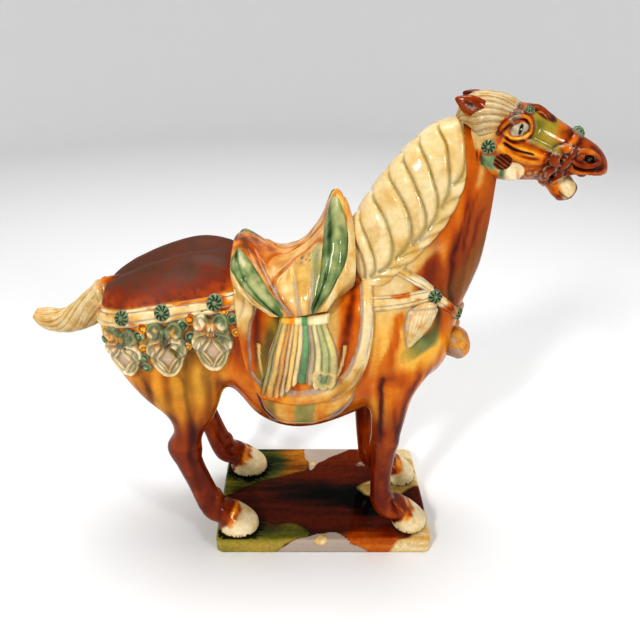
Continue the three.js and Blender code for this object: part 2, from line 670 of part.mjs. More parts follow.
function headBall({ at: [x, y, z], half: [long, wide, high], tilt, sides }, side) {
  const ball = new THREE.SphereGeometry(1, sides, Math.ceil(sides * 0.6));
  ball.scale(long * SHARE, wide * SHARE, high * SHARE);
  ball.rotateY(degToRad(tilt));
  ball.translate(x * SHARE, side * y * SHARE, z * SHARE);
  const place = ball.attributes.position;
  for (let i = 0; i < place.count; i += 1) {
    place.setXYZ(i, ...turnedHead(new THREE.Vector3().fromBufferAttribute(place, i)));
  }
  return solidOfGeometry(ball);
}

function headDetails() {
  const pieces = [loft(FORELOCK, 5, 16, { flute: HAIR_FLUTE, pose: turnedHead })];
  for (const side of SIDES) {
    pieces.push(loft(ear(side), 3, 6, { pose: turnedHead }));
    pieces.push(...Object.values(PAIRED_DETAILS).map((detail) => headBall(detail, side)));
  }
  pieces.push(...Object.values(MIDDLE_DETAILS).map((detail) => headBall(detail, FAR)));
  return pieces;
}

function horseSolid() {
  const animal = bareHorse();
  const tail = loft(TAIL, 9, 10, { flute: HAIR_FLUTE });
  const tack = [...cloths(), ...drapes(), ...saddle(), ...harness(skinLander(animal))];
  return joined([animal, tail, mane(), ...headDetails(), ...tack]);
}

// The slab reaches from hoof to hoof, and a margin further on each side.
const feet = Object.values(FEET);
const toes = feet.map(({ x, length }) => x + SOLE_SHIFT + SOLE * length);
const heels = feet.map(({ x, length }) => x + SOLE_SHIFT - SOLE * length);
const slabEnds = {
  front: Math.max(...toes) * SHARE + SLAB_MARGIN_FRONT,
  back: Math.min(...heels) * SHARE - SLAB_MARGIN_BACK,
  near: Math.min(...feet.map(({ y, width }) => y - SOLE * width)) * SHARE - SLAB_MARGIN_NEAR,
  far: Math.max(...feet.map(({ y, width }) => y + SOLE * width)) * SHARE + SLAB_MARGIN_FAR,
};
const SLAB_LENGTH = slabEnds.front - slabEnds.back;
const SLAB_WIDTH = slabEnds.far - slabEnds.near;

// Slab: a rounded rectangle with its upper edge rounded off
const CORNERS = [[1, 1, 0], [-1, 1, 90], [-1, -1, 180], [1, -1, 270]];
const CORNER_STEPS = [0, 45, 90];
function slabGeometry() {
  const outline = (inset, z) => {
    const radius = SLAB_CORNER - inset / 2;
    const x = SLAB_LENGTH / 2 - inset - radius;
    const y = SLAB_WIDTH / 2 - inset - radius;
    return CORNERS.flatMap(([sx, sy, start]) =>
      CORNER_STEPS.map((step) => {
        const turn = degToRad(start + step);
        return new THREE.Vector3(sx * x + radius * Math.cos(turn), sy * y + radius * Math.sin(turn), z);
      })
    );
  };
  const upperEdge = SLAB_THICKNESS - SLAB_EDGE;
  const bevel = SLAB_EDGE * (1 - Math.SQRT1_2);
  return geometryOf(
    stacked([
      outline(0, 0),
      outline(0, upperEdge),
      outline(bevel, SLAB_THICKNESS - bevel),
      outline(SLAB_EDGE, SLAB_THICKNESS),
    ])
  );
}

function namedMesh(name, geometry, material) {
  const mesh = new THREE.Mesh(geometry, material);
  mesh.name = name;
  return mesh;
}

const amberGlaze = new THREE.MeshStandardMaterial({ color: 0x9a4a14, roughness: 0.18, metalness: 0 });
const darkGlaze = new THREE.MeshStandardMaterial({ color: 0x3a160c, roughness: 0.2, metalness: 0 });

const slab = namedMesh("base_slab", slabGeometry(), darkGlaze);
const horse = namedMesh("horse", geometryOf(horseSolid()), amberGlaze);
horse.position.set(
  -(slabEnds.front + slabEnds.back) / 2,
  -(slabEnds.near + slabEnds.far) / 2,
  SLAB_THICKNESS
);

const figure = new THREE.Group();
figure.add(slab, horse);

export default figure;
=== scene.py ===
"""Looks of a glazed pottery horse with saddle, cloths and harness on a rectangular slab.

Lengths are in millimetres in the horse's own frame: +X towards the head, z = 0 on top of the slab,
and the near side, which the camera sees, at -Y. in_frame() turns them into the row frame's metres.
"""
import math

import bpy
import numpy as np
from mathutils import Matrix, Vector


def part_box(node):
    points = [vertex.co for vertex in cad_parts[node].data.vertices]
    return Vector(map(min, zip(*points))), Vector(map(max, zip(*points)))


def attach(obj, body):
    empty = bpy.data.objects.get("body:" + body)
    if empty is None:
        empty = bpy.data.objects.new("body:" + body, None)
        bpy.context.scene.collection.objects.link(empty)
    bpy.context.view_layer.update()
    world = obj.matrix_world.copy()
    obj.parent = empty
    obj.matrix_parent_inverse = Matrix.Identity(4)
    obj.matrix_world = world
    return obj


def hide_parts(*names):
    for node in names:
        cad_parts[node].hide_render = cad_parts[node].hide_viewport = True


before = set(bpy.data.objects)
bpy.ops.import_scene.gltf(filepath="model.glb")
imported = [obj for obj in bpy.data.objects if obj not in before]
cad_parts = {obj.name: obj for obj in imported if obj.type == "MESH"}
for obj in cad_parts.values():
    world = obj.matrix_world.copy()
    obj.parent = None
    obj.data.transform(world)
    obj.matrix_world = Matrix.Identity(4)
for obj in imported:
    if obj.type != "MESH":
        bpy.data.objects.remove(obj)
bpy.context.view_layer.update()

import openvdb as vdb
from mathutils import Euler, Vector

SLAB_LOW, SLAB_HIGH = (np.array(corner) * 1000 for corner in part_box("base_slab"))

# Feet: the hoof's place, half-length and half-width, and lean, which carries the shin forwards
NEAR, FAR = -1, 1
FEET = {
    "near_fore": {"side": NEAR, "x": 92, "y": -36, "lean": 0, "length": 18.5, "width": 17.5},
    "far_fore": {"side": FAR, "x": 91, "y": 33, "lean": -11, "length": 18.5, "width": 17.5},
    "near_hind": {"side": NEAR, "x": -92, "y": -41, "lean": 0, "length": 22, "width": 17.5},
    "far_hind": {"side": FAR, "x": -88, "y": 48, "lean": 1, "length": 22, "width": 18},
}
SOLE = 0.9  # the flat sole as a share of the hoof
SOLE_SHIFT = 1  # mm that it lies ahead of the hoof's middle
SLAB_MARGIN_BACK = 3.5
SLAB_MARGIN_NEAR = 4
HEEL_X = min(f["x"] + SOLE_SHIFT - SOLE * f["length"] for f in FEET.values())
HEEL_Y = min(f["y"] - SOLE * f["width"] for f in FEET.values())
HORSE_PLACE = np.array(
    [SLAB_LOW[0] - HEEL_X + SLAB_MARGIN_BACK, SLAB_LOW[1] - HEEL_Y + SLAB_MARGIN_NEAR, SLAB_HIGH[2]]
)



def stations(rows):
    """Table of x, y, z of the centre, direction of travel in degrees from +X towards +Z, half-width,
    half-height above and below the centre, squareness and crease on top. A row may leave out a
    squareness of 1, which is an ellipse, and a crease of 0."""
    return [[*row, *(1, 0)[len(row) - 7:]] for row in rows]


def middle(rows):
    """Stations on the horse's middle plane, whose rows leave out y."""
    return stations([x, 0, *rest] for x, *rest in rows)


TRUNK = middle([
    [-203, 250, 0, 8, 10, 12], [-197, 249, 0, 31, 28, 38, 1, 4], [-178, 246, 0, 44, 46, 51, 0.95, 11],
    [-148, 243, 0, 51, 64, 58, 0.92, 15], [-115, 238, 0, 54, 78, 62, 0.9, 14],
    [-88, 234, 0, 55, 76, 68, 0.88, 6], [-66, 229, 0, 56, 66, 95, 0.85], [-40, 227, 0, 58, 62, 108, 0.85],
    [-10, 226, 0, 58, 62, 107, 0.85], [25, 228, 0, 56, 66, 95, 0.88], [60, 232, 0, 50, 62, 76, 0.9],
    [92, 231, 0, 43, 50, 60, 0.95], [110, 229, 0, 33, 38, 42], [120, 226, 0, 10, 12, 14],
])
NECK = middle([
    [38, 240, 55, 36, 52, 62, 0.9], [60, 268, 52, 38, 60, 64, 0.9], [73, 293, 51, 36, 62, 65, 0.9],
    [89, 326, 49, 31, 59, 60, 0.9], [103, 358, 49, 27, 50, 52, 0.9], [115, 379, 48, 23, 42, 44, 0.95],
    [122, 391, 45, 20, 31, 37], [126, 400, 40, 14, 20, 24],
])
HEAD = middle([
    [106, 402, -15, 6, 8, 8], [112, 402, -15, 17, 18, 22], [128, 403, -16, 24, 23, 34, 0.95],
    [150, 399, -17, 25, 28, 32, 0.95], [170, 390, -22, 21, 26, 23, 0.95],
    [184, 385, -30, 17.5, 23, 16, 0.95], [197, 381, -36, 16.5, 20, 12, 0.95],
    [208, 377, -40, 14, 14, 10, 0.95], [215, 373, -42, 7, 7, 6],
])
JAW = middle([
    [140, 386, -12, 14, 14, 14], [158, 380, -12, 13, 12, 10], [172, 375, -20, 11, 9, 7],
    [184, 368, -42, 10, 8, 8], [192, 361, -60, 10, 10, 9], [193, 355, -75, 6, 6, 6],
])
TAIL = middle([
    [-178, 270, 200, 10, 10, 10], [-195, 264, 207, 12, 15, 14], [-210, 252, 212, 13, 16, 16],
    [-226, 240, 210, 12.5, 15, 15], [-240, 233, 200, 12, 13, 13], [-252, 231, 180, 11, 12, 12],
    [-264, 234, 160, 10, 11, 11], [-274, 239, 150, 6, 7, 7],
])
FORELOCK = middle([
    [101, 409, 20, 7, 6, 8], [108, 411, 18, 20, 18, 24], [118, 412, 8, 26, 24, 28],
    [132, 412, -5, 26, 23, 26], [141, 411, -25, 21, 18, 19], [149, 407, -30, 9, 9, 9],
])
SADDLE = middle([
    [-86, 256, 0, 58, 50, 10], [-80, 256, 0, 60, 57, 10], [-72, 256, 0, 61, 58, 10],
    [-55, 256, 0, 62, 49, 10], [-38, 256, 0, 62, 44.5, 10], [-20, 256, 0, 62, 53, 10, 1.02],
    [-6, 256, 0, 61, 74, 10, 1.12],
    [4, 256, 0, 60, 98, 10, 1.3], [12, 256, 0, 59, 96, 10, 1.3], [22, 256, 0, 57, 76, 10, 1.2],
])


def fore_leg(side, y, lean, **_):
    return stations([
        [74, side * 26, 232, -93, 20, 32, 34],
        [68, side * 32, 200, -95, 20, 26, 28],
        [63, side * 34, 170, -95, 16.5, 19, 21],
        [60.5 + lean, y, 140, -92, 13, 16, 16],
        [60 + lean, y, 113, -90, 13, 12.5, 14],
        [59 + lean, y, 92, -90, 11, 11.5, 11],
        [59 + lean * 0.8, y, 65, -88, 9.5, 10, 10.5],
        [61 + lean * 0.6, y, 43, -80, 11, 10.5, 11.5],
        [67 + lean * 0.4, y, 28, -60, 13, 11, 14],
        [80 + lean * 0.2, y, 22, -35, 13.5, 11, 13],
        [88, y, 20, -25, 8, 6, 8],
    ])


def hind_leg(side, y, lean, **_):
    return stations([
        [-146, side * 20, 280, -90, 18, 28, 28],
        [-148, side * 25, 260, -90, 28, 42, 48],
        [-147, side * 27, 234, -88, 30, 48, 54],
        [-140, side * 30, 206, -82, 26, 47, 52],
        [-134, side * 36, 178, -80, 21, 39, 38],
        [-131, y * 0.96, 153, -90, 16, 26, 21],
        [-134, y, 132, -98, 13, 16, 12.5],
        [-138, y, 112, -88, 13, 16, 17],
        [-136 + lean * 0.3, y, 92, -74, 11, 14, 12],
        [-130 + lean * 0.6, y, 68, -68, 9.5, 14.5, 10.5],
        [-121 + lean, y, 44, -62, 10.5, 13.5, 14],
        [-111 + lean, y, 28, -50, 13, 13, 17],
        [-98 + lean, y, 22, -35, 13.5, 12, 13],
        [-91 + lean, y, 20, -25, 8, 6, 8],
    ])


# The head turns a little to the near side, about the upright line through the poll.
HEAD_TURN = 15
POLL_X = 118


def turned_head(points):
    turn = math.radians(-HEAD_TURN)
    reach = points[..., 0] - POLL_X
    x = POLL_X + reach * math.cos(turn) - points[..., 1] * math.sin(turn)
    y = reach * math.sin(turn) + points[..., 1] * math.cos(turn)
    return np.stack([x, y, points[..., 2]], -1)


def in_frame(points):
    return (np.asarray(points, float) + HORSE_PLACE) * 0.001


# Curves, steps and noise


def spline(rows, t):
    """Rows of a table at t, which counts rows, on a Catmull-Rom curve."""
    rows = np.asarray(rows, float)
    t = np.asarray(t, float)
    last = len(rows) - 1
    i = np.clip(np.floor(t).astype(int), 0, last - 1)
    f = (t - i)[..., None]
    p, q, r, s = (rows[np.clip(i + k, 0, last)] for k in (-1, 0, 1, 2))
    slope_in, slope_out = (r - p) / 2, (s - q) / 2
    bend = 3 * (r - q) - 2 * slope_in - slope_out
    twist = slope_in + slope_out - 2 * (r - q)
    return q + slope_in * f + bend * f**2 + twist * f**3


def curve(points, count=48):
    """A smooth line through a few points."""
    return spline(points, np.linspace(0, len(points) - 1, count))


def at_x(rows, x):
    """Stations of a table that runs along the horse, found by x."""
    t = np.linspace(0, len(rows) - 1, 500)
    return spline(rows, np.interp(x, spline(rows, t)[:, 0], t))


def pairs(table, t):
    """Value at t along a list of [t, value] pairs."""
    at, value = np.array(table, float).T
    return np.interp(t, at, value)


def smooth(low, high, value):
    """0 below low, 1 above high and an S-curve between them. low may be above high."""
    share = np.clip((value - low) / (high - low), 0, 1)
    return share * share * (3 - 2 * share)


def bump(gap, width):
    """1 where gap is 0, and down to 0 at about twice the width on either side."""
    return np.exp(-((gap / width) ** 2))


def arch(share):
    """From 0 to 1 along a quarter of a circle, steep at first."""
    return np.sqrt(np.clip(1 - (1 - np.clip(share, 0, 1)) ** 2, 0, 1))


def mix(a, b, share):
    """a where share is 0 and b where it is 1, for colours or numbers."""
    a, b, share = np.asarray(a, float), np.asarray(b, float), np.asarray(share, float)
    if max(a.ndim, b.ndim) > share.ndim or a.shape[-1:] == (3,) or b.shape[-1:] == (3,):
        share = share[..., None]
    return a + (b - a) * share


CREASE_WIDTH = 0.33


def around(stations, angle, height=0.0):
    """Points on the skin round stations. angle is 0 on top, 90 on the near side, -90 on the far one."""
    x, y, z, direction, width, above, below, squareness, crease = np.moveaxis(stations, -1, 0)
    turn = np.radians(angle)
    side = np.sign(np.sin(turn)) * np.abs(np.sin(turn)) ** squareness
    rise = np.sign(np.cos(turn)) * np.abs(np.cos(turn)) ** squareness
    dip = np.where(rise > 0, crease * bump(side, CREASE_WIDTH), 0)
    up = (np.where(rise > 0, above, below) + height) * rise - dip
    tilt = np.radians(direction)
    place = [x - up * np.sin(tilt), y - (width + height) * side, z + up * np.cos(tilt)]
    return np.stack(np.broadcast_arrays(*place), -1)


def hashed(i, j, k, seed):
    """A number from 0 to 1 for each corner of a lattice, the same each run."""
    with np.errstate(over="ignore"):
        h = (
            i.astype(np.uint32) * np.uint32(374761393)
            + j.astype(np.uint32) * np.uint32(668265263)
            + k.astype(np.uint32) * np.uint32(2246822519)
            + np.uint32(seed * 362437 + 1013904223)
        )
        h = (h ^ (h >> np.uint32(15))) * np.uint32(2246822519)
        h = (h ^ (h >> np.uint32(13))) * np.uint32(3266489917)
    return (h ^ (h >> np.uint32(16))).astype(float) / 2**32


def blended(low, share, value):
    """value(i, j, k) at the eight corners of each cube of a lattice, blended by the place inside it."""
    total = 0.0
    for corner in np.ndindex(2, 2, 2):
        weight = np.prod(np.abs(1 - np.array(corner) - share), axis=-1)
        total = total + weight * value(*np.moveaxis(low + corner, -1, 0))
    return total


def noise(points, size, seed=0, octaves=2):
    """Smooth noise from about -1 to 1. size is a grain's width in mm, one number or one per axis."""
    total = np.zeros(points.shape[:-1])
    share = 1.0
    for octave in range(octaves):
        p = points / (np.asarray(size, float) / 2**octave) + 1000
        low = np.floor(p).astype(np.int64)
        f = p - low
        f = f**3 * (f * (f * 6 - 15) + 10)
        field = blended(low, f, lambda i, j, k: hashed(i, j, k, seed + octave * 7))
        total += share * (field * 2 - 1)
        share *= 0.5
    return total * 1.3


def runs(points, width, length, seed=0):
    """Noise drawn out downwards, as glaze runs."""
    drift = noise(points, (60, 60, 90), seed + 40, 1) * width * 0.6
    warped = points + np.stack([drift, drift, np.zeros_like(drift)], -1)
    return noise(warped, (width, width, length), seed, 2)


def line_distance(x, z, line):
    """Distance in the side view to a line of [x, z] points, and how far along it the nearest place is."""
    line = np.asarray(line, float)
    a, b = line[:-1], line[1:]
    best = np.full(np.shape(x), 1e9)
    where = np.zeros(np.shape(x))
    for k, (start, edge) in enumerate(zip(a, b - a)):
        dx, dz = x - start[0], z - start[1]
        share = np.clip((dx * edge[0] + dz * edge[1]) / max(edge @ edge, 1e-9), 0, 1)
        gap = np.hypot(dx - share * edge[0], dz - share * edge[1])
        nearer = gap < best
        best = np.where(nearer, gap, best)
        where = np.where(nearer, (k + share) / len(a), where)
    return best, where


def outline_distance(x, z, outline):
    """Distance in the side view to a closed outline, negative inside it."""
    outline = np.asarray(outline, float)
    gap, _ = line_distance(x, z, np.vstack([outline, outline[:1]]))
    inside = np.zeros(np.shape(x), bool)
    after = np.roll(outline, -1, axis=0)
    for (x0, z0), (x1, z1) in zip(outline, after):
        if z0 == z1:
            continue
        crosses = (z0 > z) != (z1 > z)
        inside ^= crosses & (x < (x1 - x0) * (z - z0) / (z1 - z0) + x0)
    return np.where(inside, -gap, gap)


def closed_curve(points, count=72):
    """A smooth closed outline through a few points."""
    ring = np.array([points[-1], *points, points[0], points[1]], float)
    return spline(ring, np.linspace(1, len(points) + 1, count, endpoint=False))


# Solids: points, quads and triangles. A solid can become a field of distances, negative inside, and
# fields melt into each other before they are made a mesh again.


def grid_quads(rows, columns, ring=False):
    """Quads of a grid of points. ring joins the last column to the first."""
    i, j = np.meshgrid(np.arange(rows - 1), np.arange(columns - (not ring)), indexing="ij")
    a = i * columns + j
    b = i * columns + (j + 1) % columns
    return np.stack([a, b, b + columns, a + columns], -1).reshape(-1, 4)


def capped(rings):
    """Closed solid through rings of points, with a flat fan at both ends."""
    rows, columns = rings.shape[:2]
    points = np.concatenate([rings.reshape(-1, 3), [rings[0].mean(0), rings[-1].mean(0)]])
    j = np.arange(columns)
    after = (j + 1) % columns
    last = (rows - 1) * columns
    first_cap = np.stack([np.full(columns, len(points) - 2), after, j], -1)
    last_cap = np.stack([np.full(columns, len(points) - 1), last + j, last + after], -1)
    return points, grid_quads(rows, columns, ring=True), np.concatenate([first_cap, last_cap])


def loft(rows, rings, sides, height=lambda t, angle: 0.0):
    """Closed solid through a table of stations. height(t, angle) stands it off the table's own form."""
    t = np.linspace(0, len(rows) - 1, rings)[:, None]
    angle = np.linspace(0, 360, sides, endpoint=False)[None, :]
    return capped(around(spline(rows, t), angle, height(t, angle)))


def ball(at, half, tilt=0.0, turn=0.0, rings=18, sides=26):
    """Ellipsoid. tilt leans its long axis down towards +X, and turn swings it about the upright."""
    up = np.linspace(0.04, math.pi - 0.04, rings)[:, None]
    side = np.linspace(0, 2 * math.pi, sides, endpoint=False)[None, :]
    unit = [np.cos(up) * np.ones_like(side), np.sin(up) * np.sin(side), np.sin(up) * np.cos(side)]
    unit = -np.stack(unit, -1) * np.array([1, -1, -1])
    points, quads, triangles = capped(unit * half)
    spin = np.array(Euler((0, math.radians(tilt), math.radians(turn))).to_matrix())
    return points @ spin.T + at, quads, triangles


def tube(line, radius, flat=1.0, sides=14, count=40):
    """Solid along a smooth line of points. radius is a number, or [share, radius] pairs along it."""
    path = curve(line, count)
    share = np.linspace(0, 1, count)
    thick = pairs(radius, share) if np.ndim(radius) else np.full(count, float(radius))
    along = np.gradient(path, axis=0)
    along /= np.linalg.norm(along, axis=1, keepdims=True)
    side = np.cross(along, np.array([0.05, 1.0, 0.02]))
    side /= np.linalg.norm(side, axis=1, keepdims=True)
    out = np.cross(side, along)
    turn = np.linspace(0, 2 * math.pi, sides, endpoint=False)[None, :, None]
    reach = thick[:, None, None]
    rings = path[:, None] + reach * (np.cos(turn) * side[:, None] + flat * np.sin(turn) * out[:, None])
    rounded = [path[0] - along[0] * thick[0] * 0.6, path[-1] + along[-1] * thick[-1] * 0.6]
    points, quads, triangles = capped(rings)
    points[-2:] = rounded
    return outward((points, quads, triangles))


def volume(solid):
    points, quads, triangles = solid
    faces = np.concatenate([quads[:, [0, 1, 2]], quads[:, [0, 2, 3]], triangles.reshape(-1, 3)])
    a, b, c = (points[faces[:, k]] for k in range(3))
    return np.einsum("ij,ij->i", a, np.cross(b, c)).sum() / 6


def outward(solid):
    """The solid with its faces turned outwards."""
    points, quads, triangles = solid
    if volume(solid) < 0:
        return points, quads[:, ::-1], triangles[:, ::-1]
    return solid


BAND = 8  # how many steps from its surface a field holds true distances


class Lattice:
    """A box of space cut into cubes, in which fields are held."""

    def __init__(self, low, high, step):
        self.step = step
        self.low = np.floor(np.array(low) / step).astype(int)
        self.size = np.ceil(np.array(high) / step).astype(int) - self.low + 1
        self.transform = vdb.createLinearTransform(voxelSize=step)

    def field(self, solid):
        points, quads, triangles = outward(solid)
        grid = vdb.FloatGrid.createLevelSetFromPolygons(
            np.ascontiguousarray(points, np.float32),
            triangles=np.ascontiguousarray(triangles, np.uint32),
            quads=np.ascontiguousarray(quads, np.uint32),
            transform=self.transform,
            halfWidth=BAND,
        )
        values = np.zeros(self.size, np.float32)
        grid.copyToArray(values, ijk=tuple(int(v) for v in self.low))
        return values

    def mesh(self, values):
        grid = vdb.FloatGrid(background=BAND * self.step)
        grid.copyFromArray(values, ijk=tuple(int(v) for v in self.low), tolerance=0.0)
        grid.transform = self.transform
        points, triangles, quads = grid.convertToPolygons(isovalue=0.0, adaptivity=0.0)
        return outward((points.astype(float), quads.astype(int), triangles.astype(int).reshape(-1, 3)))

    def axes(self):
        return [(self.low[k] + np.arange(self.size[k])) * self.step for k in range(3)]

    def places(self):
        return np.stack(np.meshgrid(*self.axes(), indexing="ij"), -1)


def melt(a, b, blend):
    """Two solids run together, over a seam as wide as blend."""
    near = np.maximum(blend - np.abs(a - b), 0) / blend
    return np.minimum(a, b) - near * near * blend / 4


def dig(a, b, blend):
    """Solid a with b cut out of it, its edge softened over blend."""
    return -melt(-a, b, blend)


def melted(lattice, solids, blend):
    total = None
    for solid in solids:
        field = lattice.field(solid)
        total = field if total is None else melt(total, field, blend)
    return total


def normals(solid):
    points, quads, triangles = solid
    total = np.zeros_like(points)
    for faces in (quads, triangles.reshape(-1, 3)):
        if len(faces) == 0:
            continue
        corners = points[faces]
        if faces.shape[1] == 4:
            across = np.cross(corners[:, 2] - corners[:, 0], corners[:, 3] - corners[:, 1])
        else:
            across = np.cross(corners[:, 1] - corners[:, 0], corners[:, 2] - corners[:, 0])
        for k in range(faces.shape[1]):
            for axis in range(3):
                total[:, axis] += np.bincount(faces[:, k], across[:, axis], len(points))
    return total / np.maximum(np.linalg.norm(total, axis=1, keepdims=True), 1e-9)


def neighbour_mean(solid, values, rounds=1):
    """Values at the points, evened out over their neighbours."""
    points, quads, triangles = solid
    edges = [quads[:, [k, (k + 1) % 4]] for k in range(4)]
    edges += [triangles[:, [k, (k + 1) % 3]] for k in range(3) if len(triangles)]
    edges = np.concatenate(edges)
    a, b = edges.T
    count = np.maximum(np.bincount(a, minlength=len(points)), 1)
    values = np.asarray(values, float)
    columns = values.reshape(len(points), -1)
    for _ in range(rounds):
        columns = np.stack([np.bincount(a, column[b], len(points)) / count for column in columns.T], -1)
    return columns.reshape(values.shape)


def hollows(solid, reach=6):
    """How hollow the skin is at each point, in mm: above 0 in a groove and below 0 on an edge."""
    points = solid[0]
    return np.einsum("ij,ij->i", normals(solid), neighbour_mean(solid, points, reach) - points)


# Glaze colours, from sRGB codes to linear light


def colour(code):
    share = np.array([code >> 16 & 255, code >> 8 & 255, code & 255]) / 255
    return np.where(share <= 0.04045, share / 12.92, ((share + 0.055) / 1.055) ** 2.4)


def ramp(*stops):
    """Function that gives the colour at t, from [t, code] stops. Thin glaze is low and pooled glaze high."""
    at = [stop for stop, _ in stops]
    codes = np.array([colour(code) for _, code in stops])
    return lambda t: np.stack([np.interp(t, at, channel) for channel in codes.T], -1)


amber = ramp(
    [-1.2, 0xE0AC48], [-0.6, 0xD2861C], [-0.1, 0xBA5F08], [0.35, 0x8C3A05], [0.8, 0x551E05], [1.4, 0x2A0E05]
)
brown = ramp([-1.2, 0xB0601A], [-0.5, 0x90400A], [0.0, 0x6E2606], [0.5, 0x4A1606], [1.1, 0x2A0C06])
cream = ramp([-1.0, 0xE6D8B6], [0.0, 0xD8C294], [0.5, 0xCCA866], [1.0, 0xB6883E])
green = ramp([-1.0, 0xA9AC84], [-0.3, 0x78906A], [0.3, 0x4C6E4C], [1.0, 0x1E3A28])
olive = ramp([-1.0, 0xB49A4A], [0.0, 0x8A8030], [0.6, 0x5A5F2A], [1.2, 0x2E3A20])
croup = ramp([-1.2, 0xC86E1A], [-0.5, 0x9E460C], [-0.05, 0x782E0E], [0.4, 0x5E3A2A], [1.3, 0x3E261C])
thigh_gold = ramp([-1, 0xD8A03A], [0, 0xB07A1E], [1, 0x6A4418])
seat_wash = ramp([-1, 0xDDB468], [-0.2, 0xC88F42], [0.4, 0xA5682E], [1, 0x744028])
oxblood = ramp([-1, 0x84380F], [0, 0x5E2614], [0.6, 0x341E18], [1.2, 0x12130F])
CLAY = colour(0xB5A598)
GRIME = colour(0x6E645C)


def mesh_object(name, solid, glaze, bare, satin, node, material):
    """Object of a solid in the horse's frame, with the colour, bare clay and dullness at each point."""
    points, quads, triangles = solid
    triangles = triangles.reshape(-1, 3)
    mesh = bpy.data.meshes.new(name)
    mesh.vertices.add(len(points))
    mesh.vertices.foreach_set("co", in_frame(points).astype(np.float32).ravel())
    corners = np.concatenate([quads.ravel(), triangles.ravel()]).astype(np.int32)
    sizes = np.concatenate([np.full(len(quads), 4), np.full(len(triangles), 3)])
    starts = np.concatenate([[0], np.cumsum(sizes)[:-1]]).astype(np.int32)
    mesh.loops.add(len(corners))
    mesh.loops.foreach_set("vertex_index", corners)
    mesh.polygons.add(len(sizes))
    mesh.polygons.foreach_set("loop_start", starts)
    mesh.polygons.foreach_set("use_smooth", np.ones(len(sizes), bool))
    mesh.update(calc_edges=True)
    tint = mesh.attributes.new("glaze", "FLOAT_COLOR", "POINT")
    rgba = np.c_[np.clip(glaze, 0, 1), np.ones(len(points))]
    tint.data.foreach_set("color", rgba.astype(np.float32).ravel())
    for attribute, share in (("bare", bare), ("satin", satin)):
        held = np.clip(share, 0, 1) * np.ones(len(points))
        mesh.attributes.new(attribute, "FLOAT", "POINT").data.foreach_set("value", held.astype(np.float32))
    mesh.materials.append(material)
    obj = bpy.data.objects.new(name, mesh)
    bpy.context.scene.collection.objects.link(obj)
    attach(obj, "root")
    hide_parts(node)
    return obj


# Materials


def add(tree, kind, inputs=None, **settings):
    """Adds a shader node. An input is a socket to link from, or a plain value."""
    new = tree.nodes.new("ShaderNode" + kind)
    for name, value in settings.items():
        setattr(new, name, value)
    for name, value in (inputs or {}).items():
        if isinstance(value, bpy.types.NodeSocket):
            tree.links.new(value, new.inputs[name])
        else:
            new.inputs[name].default_value = value
    return new.outputs


def scaled(tree, value, low, high, to_low, to_high):
    """The value taken from one range to another and held inside it."""
    inputs = {"Value": value, "From Min": low, "From Max": high, "To Min": to_low, "To Max": to_high}
    return add(tree, "MapRange", inputs)[0]


FACTOR, COLOUR_A, COLOUR_B, MIXED = 0, 6, 7, 2


def mixed(tree, share, a, b, blend="MIX"):
    inputs = {FACTOR: share, COLOUR_A: a, COLOUR_B: b}
    return add(tree, "Mix", inputs, data_type="RGBA", blend_type=blend)[MIXED]


